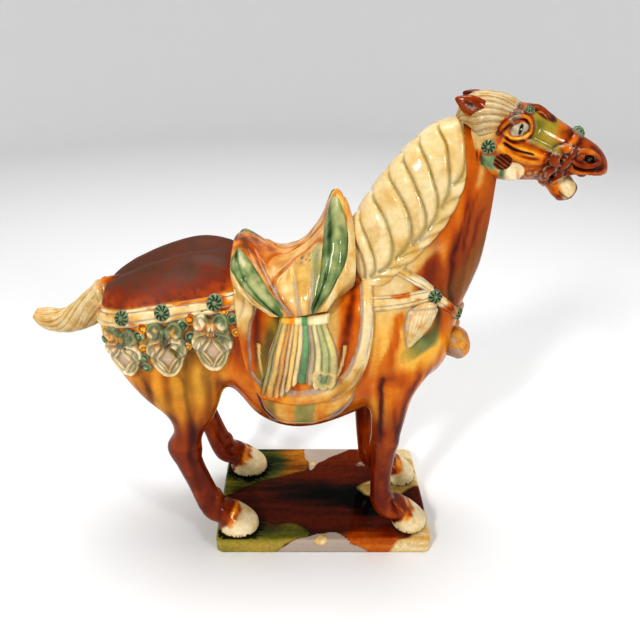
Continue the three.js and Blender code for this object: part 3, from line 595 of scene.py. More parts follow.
def glaze_material(name, gloss, grain):
    """Lead glaze over clay: its colour comes with the mesh, and mottling, specks and grain from noise."""
    material = bpy.data.materials.new(name)
    material.use_nodes = True
    tree = material.node_tree
    shader = tree.nodes["Principled BSDF"]
    tint = add(tree, "Attribute", attribute_name="glaze")["Color"]
    bare = add(tree, "Attribute", attribute_name="bare")["Fac"]
    place = add(tree, "TexCoord")["Object"]
    mottle = add(tree, "TexNoise", {"Vector": place, "Scale": 240.0, "Detail": 4.0, "Roughness": 0.6})["Fac"]
    fine = add(tree, "TexNoise", {"Vector": place, "Scale": 1300.0, "Detail": 3.0, "Roughness": 0.65})["Fac"]
    cells = add(tree, "TexVoronoi", {"Vector": place, "Scale": 420.0})["Distance"]

    # Cloudy glaze, with fine specks of iron where a few cells of the pattern have their centres
    cloud = scaled(tree, mottle, 0.3, 0.7, 1 - grain, 1 + grain)
    clouded = mixed(tree, 1.0, tint, cloud, "MULTIPLY")
    sparkle = scaled(tree, fine, 0.3, 0.7, 1 - 0.7 * grain, 1 + 0.7 * grain)
    grained = mixed(tree, 1.0, clouded, sparkle, "MULTIPLY")
    dots = scaled(tree, cells, 0.05, 0.11, 1.0, 0.0)
    few = scaled(tree, mottle, 0.54, 0.6, 0.0, 0.55)
    specks = add(tree, "Math", {0: dots, 1: few}, operation="MULTIPLY")[0]
    speckled = mixed(tree, specks, grained, (0.07, 0.035, 0.02, 1))

    # Bare clay shows through where the glaze is missing, and dulls the surface
    ragged = scaled(tree, fine, 0.3, 0.7, 0.7, 1.3)
    broken = add(tree, "Math", {0: bare, 1: ragged}, operation="MULTIPLY")[0]
    clay_share = scaled(tree, broken, 0.15, 0.75, 0.0, 1.0)
    clay = mixed(tree, scaled(tree, fine, 0.35, 0.65, 0.0, 1.0), (*CLAY * 0.78, 1), (*CLAY * 1.1, 1))
    tree.links.new(mixed(tree, clay_share, speckled, clay), shader.inputs["Base Color"])
    sheen = scaled(tree, mottle, 0.3, 0.7, gloss * 0.7, gloss * 1.5)
    satin = add(tree, "Attribute", attribute_name="satin")["Fac"]
    soft = add(tree, "Math", {0: satin, 1: 0.42, 2: sheen}, operation="MULTIPLY_ADD")[0]
    dull = add(tree, "Mix", {0: clay_share, 2: soft, 3: 0.75}, data_type="FLOAT")[0]
    tree.links.new(dull, shader.inputs["Roughness"])

    ripple = add(tree, "TexNoise", {"Vector": place, "Scale": 60.0, "Detail": 1.0})["Fac"]
    pitted = add(tree, "Math", {0: clay_share, 1: fine}, operation="MULTIPLY")[0]
    waves = add(tree, "Math", {0: mottle, 1: 0.12, 2: ripple}, operation="MULTIPLY_ADD")[0]
    height = add(tree, "Math", {0: pitted, 1: 0.5, 2: waves}, operation="MULTIPLY_ADD")[0]
    uneven = add(tree, "Bump", {"Height": height, "Strength": 0.35, "Distance": 0.0006})["Normal"]
    tree.links.new(uneven, shader.inputs["Normal"])
    shader.inputs["IOR"].default_value = 1.46
    shader.inputs["Specular IOR Level"].default_value = 0.32
    return material


HORSE_GLAZE = glaze_material("horse_glaze", 0.1, 0.09)
SLAB_GLAZE = glaze_material("slab_glaze", 0.09, 0.2)


def horse_piece(name, solid, glaze, bare, satin=0.0):
    return mesh_object(name, solid, glaze, bare, satin, "horse", HORSE_GLAZE)


def streaks(points, lines, seed=0):
    """How deep in dark runs each point lies. A line is [list of [x, z], half-width, depth]."""
    wander = noise(points, 14, seed, 2) * 1.6
    total = np.zeros(len(points))
    for line, width, depth in lines:
        path = curve(line, 24)
        gap, share = line_distance(points[:, 0] + wander, points[:, 2], path)
        faded = smooth(0, 0.12, share) * smooth(1, 0.85, share)
        total = np.maximum(total, depth * bump(gap, width) * (0.35 + 0.65 * faded))
    return total


# The bare animal: trunk, neck and legs run together

CRUPPER_TOP = [[-200, 262], [-172, 267], [-150, 271], [-131, 275], [-98, 280], [-78, 285], [-60, 288]]
THIGH_RUNS = [
    [[[-131, 214], [-128, 190], [-124, 165], [-126, 140], [-130, 118], [-133, 92]], 3.8, 0.75],
    [[[-166, 205], [-158, 185], [-148, 165], [-140, 148]], 4, 0.6],
    [[[-196, 232], [-186, 205], [-170, 180]], 5, 0.6],
    [[[-112, 205], [-110, 188]], 5, 0.3],
]
SHOULDER_RUNS = [
    [[[61, 266], [57, 240], [51, 215], [50, 203]], 4.5, 0.45],
    [[[51, 204], [49, 185], [51, 160], [53, 120]], 3.6, 1.0],
    [[[80, 215], [84, 200], [80, 190], [73, 160], [69, 125]], 3.0, 0.7],
    [[[98, 215], [92, 200], [86, 180]], 4, 0.7],
    [[[42, 201], [56, 200], [68, 204], [81, 206], [90, 206]], 1.3, 0.45],
]
NECK_RUNS = [
    [[[112, 356], [107, 330], [103, 300], [105, 275], [109, 250]], 1.7, 0.8],
    [[[119, 362], [113, 335], [110, 312]], 1.5, 0.7],
    [[[126, 350], [120, 325], [117, 300]], 2.0, 0.5],
    [[[90, 325], [94, 300], [97, 272]], 3, 0.25],
]
# Green pool round the shoulder pendant, as [x, z]
GREEN_POOL = [[87, 274], [95, 262], [96, 248], [89, 238], [79, 231], [69, 223], [66, 212]]
# Front edge of the mane, as [row of the neck, angle]
MANE_EDGE = [
    [6.4, 14], [6.1, 32], [5.7, 50], [5.4, 62], [5.0, 74], [4.7, 83], [4.4, 88.5], [3.8, 91], [3.25, 90.5],
    [2.8, 87.5], [2.4, 83.5], [2.0, 80], [1.6, 76], [1.2, 74], [0.95, 68], [0.7, 48],
]


def neck_glaze(points, depth, drips, dark):
    """Red-brown with dark runs, amber beside the mane, olive-brown down the front and pale at the throat."""
    x, _, z = points.T
    t, angle = curve(MANE_EDGE, 30).T
    edge = around(spline(NECK, t), angle)[:, [0, 2]]
    gap, share = line_distance(x, z, edge)
    width = pairs([[0, 19], [0.25, 17], [0.5, 14], [0.75, 20], [1, 25]], share)
    back = smooth(1.3, 0.6, (gap + 3 * drips) / width)
    front = smooth(-4, 9, (x - 100) * 0.87 - (z - 310) * 0.5 - 14)
    neck = brown(-0.6 + 0.22 * drips + 0.15 * depth + dark)
    neck = mix(neck, amber(-0.1 + 0.3 * drips + 0.5 * dark), back)
    foot = smooth(0.55, 0.66, share) * smooth(14, 8, gap + 2 * drips)
    neck = mix(neck, cream(0.35 + 0.5 * depth), foot)
    neck = mix(neck, olive(0.3 + 0.4 * depth + 0.5 * dark), 0.3 * front)
    strip = bump(gap - pairs([[0, 15], [0.3, 13], [0.5, 10]], share) - 1.5 * drips, 2.6)
    return mix(neck, cream(0.6 + 0.4 * depth), 0.8 * strip * smooth(362, 370, z))


def skin_glaze(points, hollow):
    """Glaze of the animal's own skin: depth picks the place on each colour's ramp."""
    x, y, z = points.T
    drips = runs(points, 9, 60, 3)
    cloud = noise(points, 26, 4, 3)
    depth = 0.42 * drips + 0.32 * cloud + np.clip(hollow * 1.2, -0.5, 0.9)
    dark = streaks(points, THIGH_RUNS + SHOULDER_RUNS + NECK_RUNS, 5)

    low = smooth(190, 130, z + 8 * cloud)
    glaze = mix(amber(depth * 0.7 - 0.2 + dark), brown(depth * 0.7 + 0.06 + dark), low)

    # Rump: golden and olive below the crupper, dark above it
    patch = noise(points, (30, 30, 50), 12, 2) + 0.9 * smooth(-185, -205, x)
    patch = smooth(0.0, 0.8, patch) * smooth(-80, -110, x)
    glaze = mix(glaze, olive(depth - 0.5 + dark), 0.4 * patch * smooth(150, 185, z))
    golden = smooth(12, 4, np.hypot((x + 112) / 1.2, (z - 200) / 2.2)) * smooth(-90, -98, x)
    glaze = mix(glaze, olive(-0.7 + 0.5 * cloud), 0.5 * golden)
    thigh = smooth(-84, -96, x) * smooth(140, 172, z) * smooth(1.1, 0.3, dark)
    glaze = mix(glaze, thigh_gold(-0.6 + 0.9 * drips + 0.5 * cloud), 0.6 * thigh)
    forearm = smooth(38, 46, x) * smooth(135, 175, z) * smooth(212, 204, z) * smooth(0.9, 0.2, dark)
    glaze = mix(glaze, amber(-0.55 + 0.9 * drips + 0.4 * cloud), 0.7 * forearm)
    over_strap = z - pairs(CRUPPER_TOP, x)
    above = smooth(-1.5, 1.5, over_strap + 1.2 * cloud) * smooth(-60, -70, x)
    rim = smooth(24, 0, over_strap + 3 * cloud) * (np.abs(y) > 20)
    speck = smooth(0.35, 0.8, noise(points, 3.0, 14, 2))
    thickness = 0.45 + 0.16 * cloud + 0.12 * drips - 0.95 * rim * (0.85 + 0.3 * drips)
    thickness -= 0.7 * smooth(-90, -77, x)
    glaze = mix(glaze, croup(thickness + 0.4 * speck * rim), above)

    # Neck
    on_neck = smooth(262, 296, z + 0.35 * (x - 60)) * smooth(40, 60, x)
    glaze = mix(glaze, neck_glaze(points, depth, drips, dark), on_neck)

    # Pale collar round the foot of the neck and down the shoulder, broken by amber runs
    fade = smooth(196, 216, z + 7 * cloud)
    shoulder = smooth(80, 66, x + 4 * cloud) * smooth(34, 40, x) * fade * smooth(330, 300, z)
    chest = smooth(60, 70, x) * fade * smooth(268, 258, z)
    streak = smooth(0.12, 0.4, dark + 0.15 * drips)
    pale = shoulder * (1 - streak) * (0.2 + 0.8 * smooth(236, 268, z + 8 * cloud))
    gold = amber(-0.95 + 0.5 * drips + 0.3 * cloud + 0.5 * smooth(92, 104, x))
    glaze = mix(glaze, gold, np.clip(shoulder + chest, 0, 1))
    glaze = mix(glaze, cream(0.35 + 0.4 * depth), pale)
    glaze = mix(glaze, amber(-0.35 + 0.3 * drips), shoulder * streak)
    gap, share = line_distance(x, z, curve(GREEN_POOL, 20))
    wet = smooth(1.25, 0.4, gap / (8 - 3 * share) + 0.3 * cloud + 0.3 * drips) * smooth(1.0, 0.7, share)
    tone = mix(green(0.35 + 0.5 * drips), olive(-0.1 + 0.5 * drips), smooth(0.55, 0.85, share))
    return mix(glaze, tone, 0.85 * wet)


def teeth(points, foot, grain, seed):
    """Noise that changes only with the bearing round a hoof, so that what it cuts has teeth."""
    bearing = np.degrees(np.arctan2(points[:, 1] - foot["y"], points[:, 0] - foot["x"]))
    flat = np.zeros_like(bearing)
    return noise(np.stack([bearing / grain, flat, flat], -1), 1.0, seed, 1)


def hoof_glaze(points, foot):
    """Cream horn below an amber coronet, with dark glaze dribbled on at the sole."""
    x, _, z = points.T
    dribble = smooth(0.0, 0.35, teeth(points, foot, 3.2, 31 + foot["x"]) + 0.75 - z / 3.6)
    horn = cream(-0.35 + 0.5 * noise(points, 9, 32, 2))
    coronet = amber(-0.25 + 0.6 * noise(points, (6, 6, 12), 33, 2))
    ring = smooth(18, 24, z + 0.45 * (foot["x"] - x) + 2.0 * noise(points, 8, 34, 2))
    return mix(mix(horn, coronet, ring), colour(0x241A14), dribble * smooth(7, 3, z))


def hoof_solid(foot, rings=22, sides=48):
    # Shift in x, height, tilt, width, length, from the sole up
    rows = [[SOLE_SHIFT, 0, 0, SOLE, SOLE], [SOLE_SHIFT, 2.5, 0, 1, 1], [0, 12, 2, 1, 0.98]]
    rows += [[-5, 24, 18, 0.9, 0.84], [-11, 33, 33, 0.58, 0.52]]
    shift, height, tilt, wide, long = np.moveaxis(spline(rows, np.linspace(0, 4, rings)), -1, 0)[:, :, None]
    turn = np.linspace(0, 2 * math.pi, sides, endpoint=False)[None, :]
    reach = np.cos(turn) * foot["length"] * long
    x = foot["x"] + shift + reach * np.cos(np.radians(tilt))
    y = foot["y"] + np.sin(turn) * foot["width"] * wide
    z = height - reach * np.sin(np.radians(tilt))
    return capped(np.stack([x, y, np.maximum(z, 0)], -1))


# Bones of a leg: x, share of the lean, z, half-sizes, tilt, rings
FORE_BONES = [
    (64, 1, 116, (9, 10, 13), 0, 18), (50, 1, 112, (5, 6, 8), 0, 18), (56, 0.7, 38, (6, 7, 7), 0, 18),
    (55.5, 0.8, 72, (3.2, 4.5, 30), 0, 24), (66, 0.6, 42, (6, 9.5, 7), 0, 18),
]
HIND_BONES = [
    (-147, 0, 110, (6, 5.5, 10), -12, 18), (-129, 0, 108, (7, 9.5, 11), 0, 18),
    (-139, 0.5, 74, (3.2, 4.0, 32), -20, 24), (-124, 1, 36, (6, 8, 7), 0, 18),
    (-112, 1, 44, (6, 9.5, 7), 0, 18),
]
LEG_CUT = 117  # the legs' finer mesh and the body's overlap about this height
LEG_LAP = 4


def leg_solids(foot):
    """Leg with the bones that stand out under its skin."""
    fore = foot["x"] > 0
    rows = (fore_leg if fore else hind_leg)(**foot)
    y, lean = foot["y"], foot["lean"]
    solids = [loft(rows, 70, 40)]
    for x, share, z, half, tilt, rings in FORE_BONES if fore else HIND_BONES:
        solids.append(ball((x + lean * share, y, z), half, tilt, rings=rings))
    return solids


def make_body():
    lattice = Lattice((-206, -68, LEG_CUT - LEG_LAP), (132, 68, 424), 2.05)
    body = melted(lattice, [loft(TRUNK, 90, 64), loft(NECK, 60, 48)], 13)
    for foot in FEET.values():
        body = melt(body, melted(lattice, leg_solids(foot), 4), 11)
    height = lattice.places()[..., 2]
    body = np.maximum(body, LEG_CUT - LEG_LAP - height)
    SKIN["body"] = Skin(lattice, body)
    solid = lattice.mesh(body.astype(np.float32))
    hollow = neighbour_mean(solid, hollows(solid, 5), 2)
    glaze = skin_glaze(solid[0], hollow)
    grime = smooth(0.9, 2.2, hollow) * 0.6
    x, _, z = solid[0].T
    rump = smooth(-60, -75, x) * smooth(-3, 3, z - pairs(CRUPPER_TOP, x))
    return horse_piece("body", solid, glaze, grime, rump)


def make_legs():
    lattice = Lattice((-165, -66, -1), (116, 72, LEG_CUT + 16), 1.2)
    legs = None
    for foot in FEET.values():
        leg = melted(lattice, leg_solids(foot), 3.5)
        leg = melt(leg, lattice.field(hoof_solid(foot)), 2.2)
        legs = leg if legs is None else np.minimum(legs, leg)
    height = lattice.places()[..., 2]
    legs = np.maximum(legs, np.maximum(height - LEG_CUT - LEG_LAP, -height))
    solid = lattice.mesh(legs.astype(np.float32))
    points = solid[0]
    hollow = neighbour_mean(solid, hollows(solid, 5), 2)
    glaze = skin_glaze(points, hollow * 2)
    bare = smooth(0.5, 1.4, hollow) * 0.5
    for foot in FEET.values():
        x, y, z = points.T - np.array([[foot["x"]], [foot["y"]], [0]])
        nearby = np.hypot(x, y) < 34
        horn = smooth(-13.5, -10.5, x - (z - 14) * 0.55 + 1.2 * noise(points, 6, 42, 2))
        horn = horn * (z < 38) * nearby
        glaze = mix(glaze, hoof_glaze(points, foot), horn)
        crust = horn * smooth(6, 2, z) * (0.5 + 0.5 * noise(points, 2.0, 43, 2))
        bare = np.where(nearby, np.maximum(bare, 0.45 * crust), bare)
    return horse_piece("legs", solid, glaze, bare)


# Cloths, saddle and hair lie on the animal as closed layers. The outer face is fine and carries the
# carving, and the inner one is coarse and buried.

DEPTH = 4.0  # how far a layer reaches into what lies below it
STRIDE = 4  # outer steps to one inner step
DEGREE = 1.05  # mm of the trunk's girth to one degree round it


def layer(place, us, vs, relief, buried=None):
    """Closed layer. place(u, v, height) gives points, and relief is the height of each outer point."""
    u, v = np.meshgrid(us, vs, indexing="ij")
    outer = place(u, v, relief)
    sink = buried or (lambda a, b: place(a, b, np.full(a.shape, -DEPTH)))
    inner = sink(u[::STRIDE, ::STRIDE], v[::STRIDE, ::STRIDE])
    rows, columns = outer.shape[:2]
    deep_rows, deep_columns = inner.shape[:2]
    count = rows * columns
    quads = [grid_quads(rows, columns), grid_quads(deep_rows, deep_columns)[:, ::-1] + count]
    rim = edge_loop(rows, columns)
    deep = edge_loop(deep_rows, deep_columns) + count
    triangles = []
    steps = len(rim)
    for k, corner in enumerate(deep):
        after = deep[(k + 1) % len(deep)]
        start = k * STRIDE
        for j in range(STRIDE):
            a, b = rim[(start + j) % steps], rim[(start + j + 1) % steps]
            triangles.append((b, a, corner if j < STRIDE // 2 else after))
        triangles.append((rim[(start + STRIDE // 2) % steps], corner, after))
    points = np.concatenate([outer.reshape(-1, 3), inner.reshape(-1, 3)])
    return outward((points, np.concatenate(quads), np.array(triangles)))


def edge_loop(rows, columns):
    """Indices round the edge of a grid of points."""
    top = np.arange(columns - 1)
    right = np.arange(rows - 1) * columns + columns - 1
    bottom = (rows - 1) * columns + np.arange(columns - 1, 0, -1)
    left = np.arange(rows - 1, 0, -1) * columns
    return np.concatenate([top, right, bottom, left])


def spread(values, outer_count, inner_count, default):
    """Colours or shares of the outer grid, with the buried points after them set to a plain value."""
    flat = np.reshape(values, (outer_count, -1)).astype(float)
    rest = np.tile(np.reshape(default, (1, -1)), (inner_count, 1))
    joined = np.concatenate([flat, rest])
    return joined if joined.shape[1] > 1 else joined[:, 0]


def dressed(name, place, us, vs, relief, glaze, bare, buried=None):
    """A layer as an object. relief, glaze and bare are given at every outer point."""
    solid = layer(place, us, vs, np.reshape(relief, (len(us), len(vs))), buried)
    counts = len(us) * len(vs), len(us[::STRIDE]) * len(vs[::STRIDE])
    return horse_piece(name, solid, spread(glaze, *counts, colour(0x6B3A14)), spread(bare, *counts, 0.0))


def sheet(place, us, vs):
    """u, v and the skin below, for every outer point of a layer."""
    u, v = np.meshgrid(us, vs, indexing="ij")
    return u.ravel(), v.ravel(), place(u, v, np.zeros(u.shape)).reshape(-1, 3)


def fine_steps(low, high, count):
    """Even steps whose count fits the stride."""
    return np.linspace(low, high, count * STRIDE + 1)


def edge_at(edge, angle):
    """x of a cloth's edge by the angle down from the back, rounded between the table's points."""
    first, last = edge[0][0], edge[-1][0]
    return sum(pairs(edge, np.clip(angle + shift, first, last)) for shift in (-6, -3, 0, 3, 6)) / 5


def chart(edges, u, v):
    """x and the angle down from the back: u runs from a cloth's back edge to its front, v from hem to hem."""
    angle = np.abs(v) * edges["hem"]
    return edge_at(edges["back"], angle) * (1 - u) + edge_at(edges["front"], angle) * u, angle


def over(stations, edges):
    """Place on a cloth that lies over the form of a table of stations."""
    return lambda u, v, height: around(at_x(stations, chart(edges, u, v)[0]), v * edges["hem"], height)


def down(line):
    """Line of [x, angle] points in the chart of x and millimetres down the side."""
    return curve([[x, angle * DEGREE] for x, angle in line], 60)


def groove(gap, width, depth):
    """Rounded groove along a line at distance gap."""
    return -depth * bump(gap, width)


def rounded_edge(u, v, width_u, width_v, drop):
    """Falls away over the last part of a layer, so that its edge is rounded."""
    side = np.minimum(np.minimum(u, 1 - u) / width_u, (1 - np.abs(v)) / width_v)
    return -drop * (1 - arch(side))


BLANKET = {
    "back": [[0, -84], [45, -80], [85, -76], [104, -68], [113, -58]],
    "front": [[0, 36], [80, 38], [95, 35], [106, 26], [113, 10]],
    "hem": 113,
}
# Lines on the cloths, as [x, angle]
PANEL_FRONT = [[28, 0], [28, 21], [28, 47], [28, 68], [26, 83], [22.5, 91], [16, 98], [6, 102.5], [-8, 104.5]]
PANEL_BACK = [
    [-66, 0], [-63, 40], [-63, 59], [-67, 71], [-68, 93], [-66, 99], [-58, 104], [-42, 106], [-24, 106],
]
DROP_STROKES = [
    [[[14, 83], [13, 90], [9, 97], [5, 100]], 2.0],
    [[[-59, 83], [-59, 91], [-57, 98]], 1.9],
]
BLANKET_RELIEF = 5.0
PANEL_RELIEF = 2.6


def make_blanket():
    us, vs = fine_steps(0, 1, 27), fine_steps(-1, 1, 50)
    place = over(TRUNK, BLANKET)
    u, v, skin = sheet(place, us, vs)
    x, angle = chart(BLANKET, u, v)
    s = angle * DEGREE
    panel = np.concatenate([down(PANEL_FRONT), down(PANEL_BACK)[::-1]])
    gap = outline_distance(x, s, panel)
    inside = smooth(1.2, -1.2, gap)
    relief = PANEL_RELIEF + (BLANKET_RELIEF - PANEL_RELIEF) * smooth(-1.6, 0.6, gap)
    relief += groove(gap + 0.6, 0.9, 1.5) + groove(gap - 7.6, 0.55, 0.7)
    relief += 0.9 * bump(gap - 3.6, 3.2) + 0.45 * bump(gap + 4.6, 1.6)
    relief += 0.35 * noise(skin, 16, 71, 2)
    strokes = np.zeros(len(x))
    for line, width in DROP_STROKES:
        along_gap, share = line_distance(x, s, down(line))
        strokes = np.maximum(strokes, bump(along_gap, width * (1.05 - 0.5 * share)))
    relief += 0.8 * strokes
    relief += rounded_edge(u, v, 0.02, 0.012, 1.6)

    drips = runs(skin, 8, 60, 72)
    cloud = noise(skin, 14, 73, 3)
    front_panel = -0.3 + 0.25 * drips + 0.75 * bump(x - 15 + (s - 80) * 0.16, 4)
    rear_panel = -0.2 + 0.25 * drips + 0.8 * bump(x + 60, 4)
    glaze = amber(np.where(x > -20, front_panel, rear_panel) + 0.2 * cloud)
    pale = smooth(12, 4, x - 2 * cloud) * smooth(-8, 0, x)
    glaze = mix(glaze, cream(0.5 + 0.3 * cloud), pale)
    drape_edge = -42 - 0.42 * (angle - 66)
    greenish = bump(x - drape_edge + 3.5 + 2 * cloud, 6)
    glaze = mix(glaze, olive(0.5 + 0.6 * drips), 0.85 * greenish)
    border_front = cream(0.05 + 0.35 * cloud + 0.6 * smooth(88, 108, s))
    border_back = amber(-0.35 + 0.45 * drips + 0.2 * cloud)
    border_back = mix(cream(0.3 + 0.4 * cloud), border_back, smooth(76, 92, s + 5 * cloud))
    border = mix(border_front, border_back, smooth(-20, -40, x))
    border = mix(border, amber(-0.3 + 0.6 * cloud), 0.6 * smooth(102, 110, angle) * smooth(20, 0, x))
    glaze = mix(border, glaze, inside)
    glaze = mix(glaze, cream(0.4), 0.9 * smooth(0.45, 0.75, strokes))
    bare = 0.95 * bump(gap + 0.6, 1.1) * (0.75 + 0.4 * noise(skin, 5, 74, 2))
    bare += 0.7 * bump(gap - 8.4, 0.6) * smooth(0.0, 0.4, noise(skin, 8, 75, 2))
    glaze = mix(glaze, GRIME, 0.6 * np.clip(bare, 0, 1))
    dressed("blanket", place, us, vs, relief, glaze, bare)


UNDERCLOTH = {
    "back": [[0, -70], [105, -66], [128, -60], [138, -50]],
    "front": [[0, 30], [105, 30], [125, 22], [138, 4]],
    "hem": 138,
}
HEM_LINE = [[-60, 126], [-54, 133], [-30, 134], [-5, 133.5], [12, 128], [22, 120], [29, 108]]
LAYER_LINE = [[-64, 104], [-54, 108.5], [-28, 107], [-6, 106.5], [10, 107], [22, 108]]
RIDGES = [
    [[36, 100], [33, 112], [24, 124], [10, 133]], [[32, 102], [29, 112], [20, 123], [6, 131]],
    [[-62, 112], [-58, 124], [-48, 134]],
]


def make_undercloth():
    us, far_hem = fine_steps(0, 1, 26), fine_steps(-1, -0.62, 16)
    over_back, near_hem = fine_steps(-0.62, 0.62, 12), fine_steps(0.62, 1, 16)
    vs = np.concatenate([far_hem, over_back[1:], near_hem[1:]])
    place = over(TRUNK, UNDERCLOTH)
    u, v, skin = sheet(place, us, vs)
    x, angle = chart(UNDERCLOTH, u, v)
    s = angle * DEGREE
    relief = 1.9 + 0.3 * noise(skin, 14, 81, 2)
    bare = np.zeros(len(x))
    for line, width, depth in ((HEM_LINE, 0.7, 1.0), (LAYER_LINE, 0.8, 1.1)):
        gap, _ = line_distance(x, s, down(line))
        relief += groove(gap, width, depth)
        bare = np.maximum(bare, 0.7 * bump(gap, 0.9))
    dark = np.zeros(len(x))
    for line in RIDGES:
        gap, _ = line_distance(x, s, down(line))
        relief += 1.0 * bump(gap, 1.2)
        bare = np.maximum(bare, 0.5 * bump(gap - 2.2, 0.8))
        dark = np.maximum(dark, bump(gap, 3.4))
    relief += rounded_edge(u, v, 0.02, 0.01, 1.2)
    drips = runs(skin, 9, 50, 82)
    cloud = noise(skin, 12, 83, 3)
    glaze = mix(cream(0.65 + 0.4 * cloud + 0.3 * drips), amber(-0.9 + 0.4 * drips), 0.5)
    middle_field = smooth(-32, -27, x + 1.5 * drips) * smooth(-8, -13, x + 1.5 * drips)
    glaze = mix(glaze, mix(green(-0.1 + 0.4 * drips), olive(-0.6), 0.45), 0.85 * middle_field)
    bands = smooth(-52, -60, x) + smooth(-13, -6, x) * smooth(8, -2, x)
    bands += smooth(-38, -33, x) * smooth(-28, -31, x)
    glaze = mix(glaze, amber(-0.5 + 0.4 * drips), 0.5 * np.clip(bands, 0, 1) * (1 - middle_field))
    glaze = mix(glaze, olive(0.6 + 0.3 * cloud), 0.7 * smooth(-58, -52, x) * smooth(-44, -50, x))
    glaze = mix(glaze, brown(0.35 + 0.4 * cloud), np.clip(1.2 * dark, 0, 1))
    glaze = mix(glaze, amber(0.1 + 0.4 * cloud), smooth(134.5, 137, angle))
    glaze = mix(glaze, GRIME, 0.6 * bare)
    dressed("undercloth", place, us, vs, relief, glaze, bare)


SEAT = {
    "back": [[0, -84], [38, -83], [54, -80], [64, -70], [71, -54], [76, -45]],
    "front": [[0, 21], [25, 25], [38, 26], [46, 25.5], [53, 23], [59, 18], [65, 11], [71, 3], [76, -4]],
    "hem": 76,
}
SEAT_CORE = 0.5  # width of the saddle's buried face as a share of the outer one
# Lines of the seat in the chart of its own form: x and angle down from its top
PAD_FRONT_IN = [[13, 0], [14, 25], [13, 42], [8, 56], [0, 66], [-10, 75]]
PAD_BACK_IN = [[-79, 0], [-78, 36], [-73, 52], [-62, 65], [-50, 73]]
SEAT_LINES = [
    [[-52, 24], [-46, 10], [-34, 4], [-19, 3], [-6, 12]],
    [[-47, 50], [-44, 38], [-36, 26], [-26, 17], [-12, 20], [-5, 30]],
]
FOLDS = [
    [[-66, 10], [-55, 32], [-43, 55], [-31, 74]],
    [[-46, 38], [-43, 54], [-32, 74]],
    [[-29, 30], [-27, 54], [-24, 75]],
    [[-12, 34], [-14, 55], [-16, 75]],
]


on_seat = over(SADDLE, SEAT)


def below_seat(u, v):
    """The buried face of the saddle: narrower, and level with the middle of the trunk."""
    inner = on_seat(u, v, np.zeros(u.shape))
    inner[..., 1] *= SEAT_CORE
    inner[..., 2] = SADDLE[0][2]
    return inner


def make_saddle():
    us, vs = fine_steps(0, 1, 30), fine_steps(-1, 1, 52)
    u, v, skin = sheet(on_seat, us, vs)
    x, angle = chart(SEAT, u, v)
    s = angle * DEGREE
    front, _ = line_distance(x, s, down(PAD_FRONT_IN))
    back, _ = line_distance(x, s, down(PAD_BACK_IN))
    before = x > pairs([[a * DEGREE, b] for b, a in PAD_FRONT_IN], s)
    behind = x < pairs([[a * DEGREE, b] for b, a in PAD_BACK_IN], s)
    relief = 1.5 + 0.25 * noise(skin, 12, 91, 2)
    relief += np.where(before, 0.9 * np.sin(np.pi * np.clip(front / 7, 0, 1)) ** 0.7, 0)
    relief += np.where(behind, 0.8 * np.sin(np.pi * np.clip(back / 5, 0, 1)) ** 0.7, 0)
    seam = np.minimum(front, back)
    relief += groove(seam, 0.8, 1.1)
    bare = 0.55 * bump(seam, 0.8) * smooth(-0.2, 0.5, noise(skin, 7, 92, 2))
    lines = np.zeros(len(x))
    for line in SEAT_LINES:
        gap, _ = line_distance(x, s, down(line))
        relief += groove(gap, 0.9, 0.9) + 0.6 * bump(gap - 2.6, 1.6)
        lines = np.maximum(lines, bump(gap, 1.6))
    fold = np.zeros(len(x))
    for line in FOLDS:
        gap, share = line_distance(x, s, down(line))
        relief += groove(gap, 1.3, 1.0) * smooth(0, 0.2, share) + 0.6 * bump(gap - 3.4, 2.2)
        bare = np.maximum(bare, 0.8 * bump(gap, 1.0) * smooth(0.1, 0.4, share))
        fold = np.maximum(fold, bump(gap, 3.2))
    relief += rounded_edge(u, v, 0.05, 0.02, 2.4)

    cloud = noise(skin, 12, 93, 3)
    drips = runs(skin, 8, 45, 94)
    glaze = cream(0.35 + 0.35 * cloud)
    upper = smooth(40, 22, angle + 5 * cloud + 0.25 * np.abs(x + 30))
    glaze = mix(glaze, seat_wash(0.1 + 0.6 * cloud + 0.3 * drips), 0.5 * upper * smooth(22, 8, x))
    rear = smooth(-30, -62, x + 0.35 * (angle - 20))
    glaze = mix(glaze, amber(-0.2 + 0.5 * cloud + 0.4 * drips), 0.75 * rear * smooth(40, 22, angle))
    rear_fold, _ = line_distance(x, s, down(FOLDS[0]))
    glaze = mix(glaze, amber(0.3 * cloud), 0.95 * bump(rear_fold, 4.6))
    glaze = mix(glaze, cream(0.9), 0.5 * fold * smooth(20, 40, angle))
    glaze = mix(glaze, amber(0.05 + 0.3 * cloud), 0.9 * lines)
    pad = smooth(0.2, 0.6, before * smooth(0.5, 2.0, front))
    glaze = mix(glaze, cream(0.1 + 0.3 * cloud), pad * smooth(16, 26, angle))
    peak = smooth(330, 346, skin[:, 2] + 3 * cloud)
    glaze = mix(glaze, amber(-0.6 + 0.6 * cloud), 0.75 * peak)
    tinge = bump(x + 11, 4) * smooth(20, 32, angle) * smooth(79, 68, angle)
    glaze = mix(glaze, green(-0.1 + 0.4 * drips), 0.7 * tinge)
    glaze = mix(glaze, cream(0.35 + 0.4 * drips), before * smooth(52, 66, angle))
    dirt = smooth(0.35, 0.75, noise(skin, 3.2, 95, 2)) * bump(x + 27 - 0.9 * (angle - 18), 6)
    dirt *= bump(angle - 25, 10)
    glaze = mix(glaze, GRIME, np.clip(0.6 * bare + 0.8 * dirt, 0, 0.9))
    dressed("saddle", on_seat, us, vs, relief, glaze, bare, below_seat)


# Leaf-shaped cushions of the saddle: angles of the ends, x by the share of the way down, half-width
LEAVES = [
    ("front_cushion", (10, 75), [[0, 2], [0.4, 5], [0.7, 1], [1, -13]], 11.5),
    ("rear_cushion", (22, 75), [[0, -76], [0.5, -64], [1, -40]], 13.5),
]


